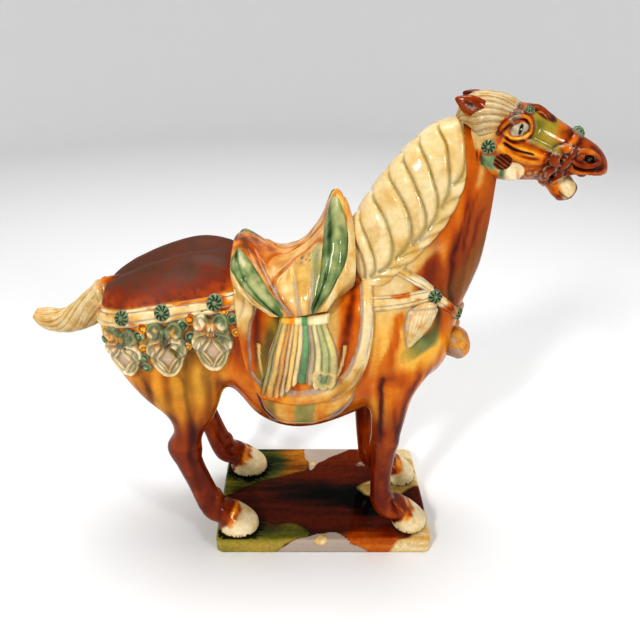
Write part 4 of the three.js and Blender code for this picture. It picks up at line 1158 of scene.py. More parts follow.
def make_cushion(name, side, ends, line, half_width):
    """A leaf: u runs down it, and v from -1 at its back edge to 1 at its front one."""

    def place(u, v, height):
        swell = np.sin(np.pi * np.clip(u, 0.02, 0.985)) ** 0.62
        x = curve_value(line, u) + v * half_width * swell
        return around(at_x(SADDLE, x), side * (ends[0] + (ends[1] - ends[0]) * u), height)

    us, vs = fine_steps(0, 1, 24), fine_steps(-1, 1, 9)
    u, v, skin = sheet(place, us, vs)
    crown = np.sqrt(np.clip(1 - v**2, 0, 1)) ** 0.9
    relief = 0.6 + 4.6 * crown * (0.55 + 0.45 * np.sin(np.pi * np.clip(u, 0, 1)) ** 0.5)
    relief -= 0.9 * bump(v + 0.42, 0.1) * smooth(0.1, 0.35, u) * smooth(1.0, 0.9, u)
    relief += 0.3 * noise(skin, 9, 101, 2)
    depth = -0.3 + 0.4 * runs(skin, 6, 40, 102) + 0.25 * noise(skin, 7, 103, 2)
    # Painted highlight: a lighter stripe just in front of the crown. The glaze is darker along the groove,
    # towards the tip and at the edges.
    depth += 0.9 * bump(v + 0.42, 0.16) - 0.3 * bump(v - 0.15, 0.25)
    depth += 0.8 * smooth(0.75, 1.0, u) + 0.5 * smooth(0.7, 1, np.abs(v))
    glaze = mix(green(depth), olive(depth - 0.4), 0.22)
    dressed(name, place, us, vs, relief, glaze, 0.35 * smooth(0.9, 1.0, np.abs(v)))


def make_cushions():
    for name, *form in LEAVES:
        make_cushion(f"{name}_near", 1, *form)
        make_cushion(f"{name}_far", -1, *form)


def curve_value(table, t):
    """Value at t along a list of [t, value] pairs, on a smooth curve."""
    at, value = np.array(table, float).T
    rows = value[:, None]
    return spline(rows, np.interp(t, at, np.arange(len(at))))[..., 0]


# The cloth knotted up below the seat. Its pleats run down and spread, and end in a wavy hem.
TIE_ANGLE = [55.5, 64.5]
DRAPE_TOP = 62.5
# Grooves between the pleats, across the drape
PLEATS = [0.0, 0.08, 0.18, 0.26, 0.33, 0.42, 0.5, 0.61, 0.69, 0.78, 0.89, 1.0]
GREEN_PLEAT = 6
PLEAT_TONES = np.array([colour(code) for code in (
    0x7C7F42, 0xD8B25E, 0xC58430, 0xC9A878, 0xD9B665, 0xD8C692, 0x6F9468, 0xA09078, 0xD2C894, 0x97A86E,
    0xBDB678,
)])
TIE_TONES = np.array([colour(code) for code in (
    0xD8B24E, 0xE0B050, 0xD98A22, 0xE8D6A6, 0x6E9C6A, 0xDCCB98, 0xEADCB4, 0xE6D8AE,
)])


def pleat_of(u):
    """Which pleat a place across the drape is in, and how far across that pleat."""
    index = np.clip(np.searchsorted(PLEATS, u, side="right") - 1, 0, len(PLEATS) - 2)
    low, high = np.take(PLEATS, index), np.take(PLEATS, index + 1)
    return index, (u - low) / (high - low)


def drape_place(side):
    def place(u, v, height):
        back = curve_value([[0, -41], [0.35, -47], [0.7, -54], [1, -60]], v)
        front = curve_value([[0, -2.5], [0.35, 3], [0.7, 8.5], [1, 8]], v)
        bottom = 103 + 3.2 * np.sin(u * 9) - 3.0 * u + 5 * (1 - u) ** 3
        angle = DRAPE_TOP + (bottom - DRAPE_TOP) * v
        return around(at_x(TRUNK, back * (1 - u) + front * u), side * angle, height)

    return place


def make_drape(side, name):
    us, vs = fine_steps(0, 1, 32), fine_steps(0, 1, 16)
    place = drape_place(side)
    u, v, skin = sheet(place, us, vs)
    sway = 0.012 * np.sin(7 * v + 2.0) * v
    index, across = pleat_of(np.clip(u + sway, 0, 0.9999))
    ridge = np.sin(np.pi * across) ** 0.75
    relief = 4.2 + (1.1 + 2.6 * v) * ridge - 0.35 * bump(across - 0.62, 0.1) * smooth(0.3, 0.6, v)
    relief += 0.25 * noise(skin, 6, 111, 2)
    scroll = np.hypot((u - 0.82) / 0.17, (v - 0.88) / 0.105)
    loop = bump(scroll - 0.85, 0.2)
    hollow = smooth(0.7, 0.3, scroll)
    relief = relief * (1 - 0.5 * smooth(1.15, 0.9, scroll)) + 3.4 * loop + 0.6 * hollow
    bunch = bump(u - 0.3, 0.12) * bump(v - 0.97, 0.05)
    relief += 1.8 * bunch
    relief += rounded_edge(u, 1 - 2 * (1 - v), 0.012, 0.05, 2.6) * (v > 0.5)

    drips = runs(skin, 5, 40, 112)
    glaze = PLEAT_TONES[index] * (1 + 0.22 * drips + 0.12 * noise(skin, 6, 113, 2))[:, None]
    glaze = mix(glaze, cream(0.1), 0.35 * smooth(0.5, 0.9, ridge) * (index != GREEN_PLEAT))
    glaze = mix(glaze, amber(0.2), 0.5 * smooth(0.75, 1.0, v) * (index < 2))
    glaze = mix(glaze, cream(0.2), 0.9 * np.clip(loop + bunch, 0, 1))
    glaze = mix(glaze, green(0.2), 0.7 * hollow)
    # Grey in the creases between pleats: bare clay and grime, also laid on as their painted shade
    crease = (1 - ridge) * (1 - loop)
    bare = smooth(0.35, 0.85, crease) * (0.85 + 0.3 * noise(skin, 6, 114, 2)) * smooth(0.0, 0.2, v + 0.15)
    glaze = mix(glaze, GRIME, 0.75 * np.clip(bare, 0, 1))
    glaze = mix(glaze, green(0.9), 0.8 * smooth(0.03, 0.0, u) * smooth(0.2, 0.6, v))
    dressed(f"drape_{name}", place, us, vs, relief, glaze, bare)


def make_tie(side, name):
    """The rolled band over the drape, striped along its length."""

    def place(u, v, height):
        x = -42 + 43.5 * u + (1 - 2 * u) * (1 - np.abs(2 * v - 1))
        angle = TIE_ANGLE[0] + (TIE_ANGLE[1] - TIE_ANGLE[0]) * v + 0.8 * np.sin(np.pi * u)
        return around(at_x(TRUNK, x), side * angle, height)

    us, vs = fine_steps(0, 1, 20), fine_steps(0, 1, 6)
    u, v, skin = sheet(place, us, vs)
    band = np.sin(np.pi * v) ** 0.5
    relief = (3.2 + 5.4 * band) * (0.35 + 0.65 * smooth(0, 0.06, u) * smooth(1, 0.94, u))
    stripe = u * (len(TIE_TONES) - 0.001)
    low = np.floor(stripe).astype(int)
    after = np.minimum(low + 1, len(TIE_TONES) - 1)
    glaze = mix(TIE_TONES[low], TIE_TONES[after], smooth(0.3, 0.7, stripe - low))
    glaze = glaze * (1 + 0.15 * noise(skin, 6, 116, 2))[:, None]
    dressed(f"tie_{name}", place, us, vs, relief, glaze, 0.5 * smooth(0.35, 0.0, band))


def make_drapes():
    for side, name in ((1, "near"), (-1, "far")):
        make_drape(side, name)
        make_tie(side, name)


# Mane: long locks that start at the crest, hang down the neck and hook back at their tips, where they
# are laid over each other like the strands of a rope. Places on it are [row of the neck, angle].

MANE_ROWS = [0.7, 6.38]
MANE_REAR = [[0, 1.15], [40, 0.98], [75, 0.72]]  # row at which it ends, by the angle
LOCK_GROOVES = [
    [[6.2, 0], [6.0, 32], [5.55, 56], [5.1, 71], [4.7, 79], [4.4, 81.5], [4.15, 80]],
    [[5.25, 0], [5.05, 20], [4.85, 47], [4.5, 63], [4.15, 75], [3.85, 80.5], [3.55, 81.5]],
    [[4.42, 0], [4.3, 13], [4.1, 44], [3.85, 63], [3.6, 76], [3.3, 81], [2.98, 80.5]],
    [[3.8, 0], [3.7, 13], [3.55, 44], [3.3, 67], [3.1, 76], [2.85, 79], [2.55, 76.5]],
    [[3.3, 0], [3.2, 13], [3.08, 46], [2.88, 64], [2.62, 72.5], [2.35, 73], [2.05, 70.5]],
    [[2.7, 0], [2.62, 12], [2.55, 40], [2.35, 57], [2.1, 66], [1.75, 68], [1.42, 64]],
    [[2.2, 0], [2.1, 12], [1.95, 36], [1.7, 52], [1.4, 60], [1.15, 60]],
    [[1.72, 0], [1.65, 15], [1.5, 36], [1.25, 50], [1.0, 56]],
]
LOCK_TIPS = [
    [[4.66, 90], [4.5, 86], [4.15, 80]],
    [[4.15, 93], [3.95, 88], [3.75, 84], [3.5, 81]],
    [[3.62, 93], [3.42, 88], [3.2, 84], [2.95, 80.5]],
    [[3.16, 91], [2.98, 86], [2.75, 81], [2.52, 76.5]],
    [[2.68, 87], [2.5, 81.5], [2.27, 76], [2.0, 71]],
    [[2.2, 83], [1.98, 76.5], [1.7, 70], [1.4, 64.5]],
    [[1.68, 79], [1.5, 72], [1.3, 66], [1.1, 61]],
]
ROW_LENGTH = 34.0  # mm of the neck's length to one row, and of its girth to one degree
NECK_DEGREE = 0.62


def mane_edge(t):
    at, edge = np.array(MANE_EDGE[::-1], float).T
    edges = [np.interp(t + shift, at, edge) for shift in (-0.2, -0.1, 0, 0.1, 0.2)]
    return sum(edges) / 5


def on_neck(t, v, height):
    return around(spline(NECK, t), v * mane_edge(t), height)


def neck_chart(line):
    return curve([[t * ROW_LENGTH, angle * NECK_DEGREE] for t, angle in line], 30)


def make_mane():
    us, vs = fine_steps(*MANE_ROWS, 54), fine_steps(-1, 1, 42)
    t, v, skin = sheet(on_neck, us, vs)
    angle = np.abs(v) * mane_edge(t)
    x, s = t * ROW_LENGTH, angle * NECK_DEGREE
    gap, tip_gap = (
        np.min([line_distance(x, s, neck_chart(line))[0] for line in lines], axis=0)
        for lines in (LOCK_GROOVES, LOCK_TIPS)
    )
    nearest = np.minimum(gap, tip_gap + 0.7)
    to_edge = np.abs(mane_edge(t) - angle) * NECK_DEGREE
    rounded = np.minimum(arch(gap / 5.0), 0.3 + 0.7 * arch(tip_gap / 3.4))
    crown = smooth(2, 14, angle)
    relief = 1.6 + 3.4 * (1 - (1 - rounded) * (0.4 + 0.6 * crown)) - 2.4 * smooth(34, 4, angle)
    relief -= 2.6 * (1 - arch(to_edge / 2.6))
    relief -= 5 * smooth(0.1, -0.05, t - pairs(MANE_REAR, angle)) + 3.0 * smooth(6.25, 6.38, t)
    relief += 0.25 * noise(skin, 12, 122, 2)
    cloud = noise(skin, 16, 123, 3)
    drips = runs(skin, 8, 40, 124)
    crease = bump(nearest, 1.3) * crown
    glaze = cream(-0.05 + 0.3 * cloud + 0.25 * smooth(4.5, 0.5, nearest) * crown)
    stain = smooth(0.2, 0.8, drips + 0.5 * crease) * smooth(10, 45, angle)
    glaze = mix(glaze, cream(0.85), 0.4 * stain)
    glaze = mix(glaze, olive(0.3), 0.55 * crease)
    glaze = mix(glaze, amber(-0.9), 0.3 * smooth(5, 1, to_edge) * smooth(-0.2, 0.4, drips))
    bare = 0.35 * crease * smooth(0.0, 0.5, 0.35 + noise(skin, 9, 125, 2))
    dressed("mane", on_neck, us, vs, relief, glaze, bare)


def hair_height(t, angle, strands, seed, depth):
    """Combed strands along a loft, of uneven width."""
    wave = angle + 9 * np.sin(t * 1.3 + seed) + 6 * np.sin(np.radians(angle) * 3 + seed)
    phase = np.radians(wave) * strands / 2
    fine = np.radians(wave + 5 * np.sin(t * 2.1)) * strands * 1.5
    return depth * (np.abs(np.sin(phase)) ** 0.6 - 0.6) + 0.3 * depth * np.abs(np.sin(fine))


def make_tail():
    rings, sides = 150, 96

    def height(t, angle):
        twist = angle + 26 * t
        hair = hair_height(t, twist, 11, 1.0, 1.1) * smooth(1.5, 1.9, t)
        knot = 1.6 * bump(t - 1.55, 0.16) + 1.0 * bump(t - 1.15, 0.1)
        wrap = 0.8 * np.abs(np.sin(np.radians(angle) * 2 + t * 9)) * bump(t - 1.4, 0.4)
        tip = -1.2 * smooth(6.2, 7.0, t)
        return hair - 1.0 + knot + wrap + tip

    solid = loft(TAIL, rings, sides, height)
    points = solid[0]
    t = np.append(np.repeat(np.linspace(0, len(TAIL) - 1, rings), sides), [0, len(TAIL) - 1])
    cloud = noise(points, 9, 131, 3)
    hollow = hollows(solid, 3)
    glaze = cream(0.3 + 0.4 * cloud + np.clip(hollow * 2.5, -0.3, 0.9)) * 0.86
    root = smooth(1.5, 0.9, t + 0.25 * cloud)
    glaze = mix(glaze, amber(0.05 + 0.6 * cloud), root)
    glaze = mix(glaze, croup(0.3), smooth(0.85, 0.5, t + 0.2 * cloud))
    glaze = mix(glaze, amber(-0.7), 0.3 * smooth(5.6, 6.6, t))
    bare = 0.5 * smooth(0.12, 0.4, hollow) * smooth(1.2, 1.6, t)
    glaze = mix(glaze, GRIME, 0.5 * bare)
    horse_piece("tail", solid, glaze, bare)


FORELOCK_MEET = 66  # the angle that the strands run to at the brow, and how closely they gather there
STRANDS_CLOSE = [[0, 1.15], [1.5, 1.0], [3, 0.72], [4.3, 0.42], [5, 0.36]]
FORELOCK_EDGE = [[0, 75], [1, 84], [2, 105], [3, 98], [4, 84], [5, 76]]  # angle of its lower edge along it


def make_forelock():
    rings, sides = 110, 190

    def height(t, angle):
        turned = (angle + 180) % 360 - 180
        sway = 5 * np.sin(t * 1.7 + 0.6) + 3 * np.sin(t * 3.1)
        across = (np.abs(turned) - FORELOCK_MEET + sway) / pairs(STRANDS_CLOSE, t)
        lock = np.abs(np.sin(np.radians(across) * 11)) ** 0.65
        fine = np.abs(np.sin(np.radians(across + 3 * np.sin(t * 2.4)) * 25))
        ends = np.minimum(smooth(0.0, 0.6, t), smooth(5.0, 4.5, t))
        below = smooth(0, 9, np.abs(turned) - pairs(FORELOCK_EDGE, t))
        return (1.7 * (lock - 0.75) + 0.2 * fine) * ends - 2.2 - 6 * below

    solid = loft(FORELOCK, rings, sides, height)
    points = solid[0]
    hollow = hollows(solid, 3)
    cloud = noise(points, 8, 141, 3)
    x, _, z = points.T
    glaze = cream(0.5 + 0.35 * cloud + np.clip(hollow * 3.5, -0.4, 1.3)) * 0.72
    low = smooth(418, 408, z + 2 * cloud) * smooth(120, 130, x)
    glaze = mix(glaze, amber(-0.7 + 0.4 * cloud), 0.35 * low)
    bare = 0.75 * smooth(0.1, 0.35, hollow)
    glaze = mix(glaze, GRIME, 0.5 * bare)
    solid = (turned_head(points), solid[1], solid[2])
    horse_piece("forelock", solid, glaze, bare)


# Harness. It lands on the animal's skin, which is kept as a field.


class Skin:
    """A field that can be asked for distances, and on which rays can land."""

    def __init__(self, lattice, values):
        self.lattice, self.values = lattice, values

    def distance(self, points):
        place = points / self.lattice.step - self.lattice.low
        low = np.clip(np.floor(place).astype(int), 0, self.lattice.size - 2)
        f = np.clip(place - low, 0, 1)
        return blended(low, f, lambda i, j, k: self.values[i, j, k])

    def land(self, start, heading):
        points = start.copy()
        for _ in range(70):
            points = points + heading * (self.distance(points) * 0.9)[..., None]
        return points

    def normal(self, points):
        reach = self.lattice.step
        shifts = np.eye(3) * reach
        slopes = [self.distance(points + shift) - self.distance(points - shift) for shift in shifts]
        slopes = np.stack(slopes, -1)
        return slopes / np.maximum(np.linalg.norm(slopes, axis=-1, keepdims=True), 1e-6)


SKIN = {}
OUTSIDE = 120  # mm from the middle at which a ray starts
OUTWARD = 0.4  # share of the ray's own direction in the way that a belt stands off
CHEST_TURN = 80  # x at which the belts turn round the chest and round the rump
RUMP_TURN = -150


def belt(turn_x, end, side):
    """Place on a belt line that runs along the side and then turns round an end of the horse. s below 0
    is millimetres along the side, and above 0 degrees round the end."""

    def place(s, z, height):
        x = turn_x + end * np.minimum(s, 0)
        bearing = np.radians(end * np.maximum(s, 0))
        out = np.stack([np.sin(bearing), -side * np.cos(bearing), np.zeros_like(bearing)], -1)
        axis = np.stack([x, np.zeros_like(x), z], -1)
        hit = SKIN["body"].land(axis + out * OUTSIDE, -out)
        lift = SKIN["body"].normal(hit) * (1 - OUTWARD) + out * OUTWARD
        lift /= np.linalg.norm(lift, axis=-1, keepdims=True)
        return hit + lift * np.asarray(height)[..., None]

    return place


MIDDLE = 90.5  # degrees at which the straps of both sides meet
# Straps: the middle line as [s, z], and the width
BREAST_STRAP = [[-44, 271], [-20, 272.5], [0, 275], [14, 275], [36, 264], [56, 252], [MIDDLE, 247]], 12.5
NECK_STRAP = [[-26, 302], [-10, 292], [14, 279]], 10.5
CRUPPER = [[-74, 276], [-52, 272.5], [-19, 267], [0, 264], [22, 260], [44, 256], [MIDDLE, 252]], 15
# Height of a strap by the share of the way across it
STRAP_BANDS = [
    [0.0, 0.0], [0.06, 2.6], [0.13, 3.0], [0.17, 1.7], [0.22, 3.1], [0.58, 3.2], [0.64, 1.7], [0.7, 3.0],
    [0.84, 3.0], [0.88, 2.0], [0.93, 2.4], [1.0, 0.2],
]
STRAP_GROOVES = (0.17, 0.64, 0.88)


def make_strap(name, place, strap, seed, patches):
    line, width = strap
    us, vs = fine_steps(0, len(line) - 1, 42), fine_steps(0, 1, 6)

    def lie(u, v, height):
        row = spline(line, u)
        return place(row[..., 0], row[..., 1] + (0.5 - v) * width, height)

    _, v, skin = sheet(lie, us, vs)
    relief = pairs(STRAP_BANDS, v) + 0.2 * noise(skin, 7, seed, 2)
    cloud = noise(skin, 9, seed + 1, 3)
    stain = smooth(0.0, 0.35, noise(skin, (15, 15, 9), seed + 2, 2) + patches)
    glaze = mix(cream(0.1 + 0.5 * cloud), amber(-0.3 + 0.4 * cloud), stain)
    bare = smooth(0.05, 0.0, v) + smooth(0.97, 1.0, v)
    for at in STRAP_GROOVES:
        bare = np.maximum(bare, bump(v - at, 0.035))
    bare = bare * np.clip(0.6 + 0.6 * noise(skin, 5, seed + 3, 2), 0, 1)
    dressed(name, lie, us, vs, relief, mix(glaze, GRIME, 0.6 * bare), bare)


def boss(land, outline, rings, paint):
    """Closed knob on the skin. outline is a ring of [a, b]; paint(r, a, b) gives relief, glaze and bare."""
    spokes = len(outline)
    shares = np.linspace(0, 1, rings)[1:, None] ** 0.9
    edge_a, edge_b = outline.T[:, None]
    a, b = shares * edge_a, shares * edge_b
    relief, glaze, bare = paint(np.repeat(shares, spokes, 1), a, b)
    rim = land(edge_a, edge_b, np.full((1, spokes), -3.0))
    deep = land(edge_a * 0.5, edge_b * 0.5, np.full((1, spokes), -3.5))
    points, quads, triangles = capped(np.concatenate([land(a, b, relief), rim, deep]))
    centre = np.zeros((1, 1))
    top_relief, top_glaze, top_bare = paint(centre, centre, centre)
    points[-2] = land(centre, centre, top_relief)[0, 0]
    points[-1] = land(centre, centre, np.full((1, 1), -3.5))[0, 0]
    tint = np.concatenate([*glaze, glaze[-1], glaze[-1], top_glaze[0], glaze[-1][:1]])
    wear = np.concatenate([*bare, bare[-1], bare[-1], top_bare[0], bare[-1][:1]])
    return outward((points, quads, triangles)), tint, wear


def knob_cloud(a, b, size, seed, apart):
    """Noise over a knob's own chart, in a layer of its own for each seed."""
    return noise(np.stack([a, b, np.full_like(a, seed * apart)], -1), size, seed, 2)


def ring_outline(radius, spokes):
    turn = np.linspace(0, 2 * math.pi, spokes, endpoint=False)
    return np.stack([np.cos(turn) * radius, np.sin(turn) * radius], -1)


def rosette_paint(radius, petals, seed):
    def paint(r, a, b):
        turn = np.arctan2(b, a)
        petal = np.abs(np.cos((turn + 0.5 * r) * petals / 2))
        ring = smooth(0.24, 0.38, r) * smooth(0.94, 0.8, r)
        relief = 3.5 + 1.5 * np.sqrt(np.clip(1 - r**2, 0, 1)) + ring * (1.7 * petal**0.7 - 1.2)
        relief += 1.1 * np.clip(1 - (r / 0.26) ** 2, 0, 1)
        cloud = knob_cloud(a, b, 2.5, seed, apart=3.0)
        glaze = mix(green(0.2 + 0.6 * cloud), colour(0x5E6448), 0.45)
        pale = smooth(0.6, 0.95, petal) * smooth(0.45, 0.8, r) + smooth(0.3, 0.15, r)
        glaze = mix(glaze, green(-0.75), np.clip(0.6 * pale * (0.7 + 0.5 * cloud), 0, 1))
        gap = smooth(0.56, 0.26, petal) * ring
        glaze = mix(glaze, colour(0x10130D), np.clip(1.1 * gap, 0, 1))
        bare = 0.45 * smooth(0.88, 1.0, r)
        return relief * radius / 6.5, mix(glaze, GRIME, bare), bare

    return paint


# Right half of a plaque's outline, in shares of its half-width and half-height
PLAQUE_OUTLINE = [
    [0, 0.84], [0.3, 1.0], [0.66, 0.98], [0.9, 0.72], [0.84, 0.46], [1.0, 0.2], [0.97, -0.12],
    [0.78, -0.36], [0.62, -0.66], [0.3, -0.94], [0, -1.0],
]


def plaque_outline(half_width, half_height, spokes):
    left = [[-a, b] for a, b in reversed(PLAQUE_OUTLINE[1:-1])]
    return closed_curve(PLAQUE_OUTLINE + left, spokes) * [half_width, half_height]


# Right half of its scrollwork in the same shares: the line, its width and its height. A share of the
# height counts TALL times as much as one of the width.
TALL = 1.3
SCROLLS = [
    ([[0.1, 0.36], [0.1, 0.7], [0.24, 0.92], [0.5, 0.98], [0.74, 0.82], [0.72, 0.6], [0.5, 0.52],
      [0.36, 0.66], [0.46, 0.76]], 0.075, 2.3),
    ([[0.14, 0.34], [0.36, 0.36], [0.6, 0.34], [0.84, 0.22], [0.92, 0.02], [0.78, -0.1], [0.66, 0.02]],
     0.07, 1.9),
    ([[0.3, 0.2], [0.46, 0.1], [0.62, -0.1], [0.74, -0.32], [0.62, -0.62], [0.34, -0.86], [0.0, -0.95]],
     0.075, 1.5),
]


def plaque_paint(half_width, half_height, seed):
    def paint(r, a, b):
        p, q = a / half_width, b / half_height
        local = np.stack([a, b, np.full_like(a, seed * 9.0)], -1)
        relief = 3.2 + 0.5 * np.cos(p * 2)
        seam = np.zeros_like(relief)
        for line, width, height in SCROLLS:
            gap = line_distance(np.abs(p), TALL * q, curve(np.array(line) * [1, TALL], 30))[0] / width
            relief += height * bump(gap, 1) - 0.9 * bump(gap - 2.0, 0.6)
            seam = np.maximum(seam, bump(gap - 2.0, 0.6))
        frame_gap = (np.abs(p) / 0.5) ** 0.8 + (np.abs(q + 0.22) / 0.52) ** 0.8
        relief += 2.0 * bump(frame_gap - 1.02, 0.13) - 1.6 * smooth(0.9, 0.72, frame_gap)
        seam = np.maximum(seam, bump(frame_gap - 1.3, 0.1) * smooth(0.95, 0.8, r))
        relief -= 0.9 * bump(frame_gap - 1.3, 0.12)
        relief *= 0.35 + 0.65 * smooth(1.0, 0.94, r)
        cloud = noise(local, 8, seed, 3)
        glaze = cream(-0.2 + 0.6 * cloud)
        upper = smooth(0.3, 0.6, q + 0.5 * cloud - 0.25 * p)
        glaze = mix(glaze, green(0.35 + 1.1 * cloud), 0.85 * upper)
        yellow = smooth(0.0, 0.4, noise(local, 7, seed + 5, 2) + 0.5 * p)
        glaze = mix(glaze, amber(-0.75), 0.7 * yellow * smooth(0.5, 0.15, np.abs(q - 0.45)))
        side_green = smooth(0.3, 0.7, np.abs(p) + 0.6 * cloud) * smooth(1.1, 1.4, frame_gap)
        glaze = mix(glaze, green(-0.75), 0.55 * side_green)
        inside = smooth(0.95, 0.8, frame_gap)
        glaze = mix(glaze, colour(0xB9A08C), 0.75 * inside)
        seam = np.clip(seam + 0.8 * bump(frame_gap - 0.86, 0.06) + smooth(0.94, 1.0, r), 0, 1)
        bare = 0.75 * seam * np.clip(0.7 + 0.5 * noise(local, 4, seed + 7, 2), 0, 1) + 0.35 * inside
        glaze = mix(glaze, colour(0x4E4434), 0.6 * seam)
        return relief, glaze, 0.6 * bare

    return paint


# Rosettes: s, z, millimetres to a unit of s, radius. Plaques have a half-width and half-height instead.
BREAST_ROSETTES = [(16, 275, 0.62, 6.2), (56, 252, 0.6, 5.5)]
CRUPPER_ROSETTES = [(-55, 275.5, 1, 6.8), (-11, 267.5, 1, 6.5), (25, 261, 0.9, 6.2)]
PLAQUES = [(-51, 239, 1, 18, 28), (-12, 233.5, 1, 17.5, 26.5), (27, 228, 0.9, 16, 24)]
# Knobs of the scrollwork between plaques, the same way, with 1 for green and 0 for yellow
KNOBS = [
    (-69, 262, 1, 4.6, 1), (-62, 268, 1, 4.0, 0), (-72, 250, 1, 3.8, 0), (-34, 262, 1, 5.4, 0),
    (-27, 257, 1, 5.0, 1), (-33, 246, 1, 4.4, 1), (-30, 237, 1, 3.6, 0), (6, 254, 0.9, 5.0, 0),
    (10, 247, 0.9, 4.6, 1), (7, 236, 0.9, 4.2, 0), (9, 226, 0.9, 4.0, 1), (8, 216, 0.9, 4.4, 1),
    (42, 246, 0.9, 4.4, 0), (46, 236, 0.9, 4.0, 1), (-45, 268, 1, 3.4, 1), (-3, 258, 1, 3.4, 1),
]


def joined_piece(name, parts, moved=lambda points: points):
    """Several solids with their glaze and bare shares, as one piece."""
    rows = []
    count = 0
    for (points, quads, triangles), glaze, bare in parts:
        rows.append((points, quads + count, triangles.reshape(-1, 3) + count, glaze, bare))
        count += len(points)
    points, quads, triangles, glaze, bare = (np.concatenate(column) for column in zip(*rows))
    horse_piece(name, (moved(points), quads, triangles), glaze, bare)


def rosette(land, radius, petals, seed):
    return boss(land, ring_outline(radius, 64), 16, rosette_paint(radius, petals, seed))


def knob_paint(radius, is_green, seed):
    def paint(r, a, b):
        turn = np.arctan2(b, a)
        spiral = 0.3 + 0.5 * np.mod(turn / (2 * math.pi) + 0.37 * seed, 1)
        groove = bump(r - spiral, 0.13)
        relief = 2.2 + 1.5 * np.sqrt(np.clip(1 - r**2, 0, 1)) - 1.2 * groove
        cloud = knob_cloud(a, b, 3.5, seed, apart=5.0)
        glaze = green(0.7 * cloud) if is_green else amber(-0.75 + 0.7 * cloud)
        glaze = mix(glaze, colour(0x2A2418), 0.7 * groove)
        bare = 0.8 * smooth(0.85, 1.0, r)
        glaze = mix(glaze, GRIME, 0.5 * bare)
        return relief * radius / 4.5, glaze, bare

    return paint


PENDANT_WIDTH = [[0, 0.5], [0.08, 0.82], [0.2, 1], [0.5, 0.82], [0.8, 0.42], [0.94, 0.22], [1, 0.1]]
PENDANTS = [
    {"name": "shoulder", "s": 6, "z": 270, "unit": 0.8, "half": 13.5, "length": 37, "sweep": 13, "stand": 0},
    {"name": "chest", "s": 58, "z": 234, "unit": 0.6, "half": 12, "length": 29, "sweep": -2, "stand": 11},
]


def make_pendant(place, side_name, facts):
    us, vs = fine_steps(0, 1, 16), fine_steps(-1, 1, 14)

    def lie(u, v, height):
        a = v * facts["half"] * pairs(PENDANT_WIDTH, u) - facts["sweep"] * u**1.2
        z = facts["z"] - u * facts["length"] + (1 - v**2) * (1 - u) ** 3
        stand = facts["stand"] * np.sin(np.clip(u, 0, 1) * math.pi * 0.75)
        return place(facts["s"] + a / facts["unit"], z, height + np.sign(height) * stand)

    u, v, skin = sheet(lie, us, vs)
    crown = np.clip(1 - v**2, 0, 1)
    ribs = np.abs(np.sin(v * 15 + 0.5 * np.sin(u * 9)))
    relief = 2.0 + 6.4 * crown**0.6 * pairs([[0, 0.55], [0.2, 0.95], [0.6, 0.75], [1, 0.25]], u)
    relief -= 0.55 * smooth(0.5, 0.1, ribs) * smooth(0.12, 0.2, u) * smooth(1, 0.8, np.abs(v))
    relief -= 1.2 * bump(u - 0.13, 0.02) + 0.9 * bump(np.abs(v) - 0.86, 0.05)
    cloud = noise(skin, 7, 161, 3)
    if facts["name"] == "chest":
        glaze = amber(-0.75 + 0.3 * cloud)
    else:
        stain = smooth(0.2, 0.6, noise(np.stack([v * 30, u * 4, u * 0], -1), 2.0, 162, 1))
        glaze = mix(cream(0.5 * cloud), amber(-0.4), 0.4 * stain * smooth(0.9, 0.3, u))
    bare = 0.6 * smooth(0.45, 0.1, ribs) * smooth(0.12, 0.2, u)
    bare = np.maximum(bare, 0.8 * bump(u - 0.13, 0.025))
    bare = np.maximum(bare, 0.8 * smooth(0.84, 0.95, np.abs(v)))
    bare = bare * np.clip(0.7 + 0.5 * noise(skin, 4, 163, 2), 0, 1)
    dressed(f"{facts['name']}_pendant_{side_name}", lie, us, vs, relief, mix(glaze, GRIME, 0.5 * bare), bare)


def on_belt(place, s, z, unit):
    """Chart of places a, b in millimetres round one place on a belt."""
    return lambda a, b, height: place(s + a / unit, z + b, height)


def make_harness():
    for side, name, seed in ((1, "near", 200), (-1, "far", 240)):
        chest, rump = belt(CHEST_TURN, 1, side), belt(RUMP_TURN, -1, side)
        make_strap(f"breast_strap_{name}", chest, BREAST_STRAP, seed, -0.15)
        make_strap(f"neck_strap_{name}", chest, NECK_STRAP, seed + 4, -0.4)
        make_strap(f"crupper_{name}", rump, CRUPPER, seed + 8, 0.05)
        studs, plaques = [], []
        for k, (*at, radius) in enumerate(BREAST_ROSETTES):
            studs.append(rosette(on_belt(chest, *at), radius, 8, seed + k))
        for k, (*at, radius) in enumerate(CRUPPER_ROSETTES):
            studs.append(rosette(on_belt(rump, *at), radius, 9, seed + 5 + k))
        for k, (*at, radius, is_green) in enumerate(KNOBS):
            paint = knob_paint(radius, is_green, seed + 10 + k)
            studs.append(boss(on_belt(rump, *at), ring_outline(radius, 28), 10, paint))
        for k, (*at, width, height) in enumerate(PLAQUES):
            paint = plaque_paint(width, height, seed + 30 + k)
            plaques.append(boss(on_belt(rump, *at), plaque_outline(width, height, 112), 38, paint))
        joined_piece(f"studs_{name}", studs)
        joined_piece(f"plaques_{name}", plaques)
        for facts in PENDANTS:
            make_pendant(chest, name, facts)


# Head. It is built straight, of forms that melt into each other, and then turned. Its lines and spots
# are [x, z] in the side view, and lie on the skin of both sides.

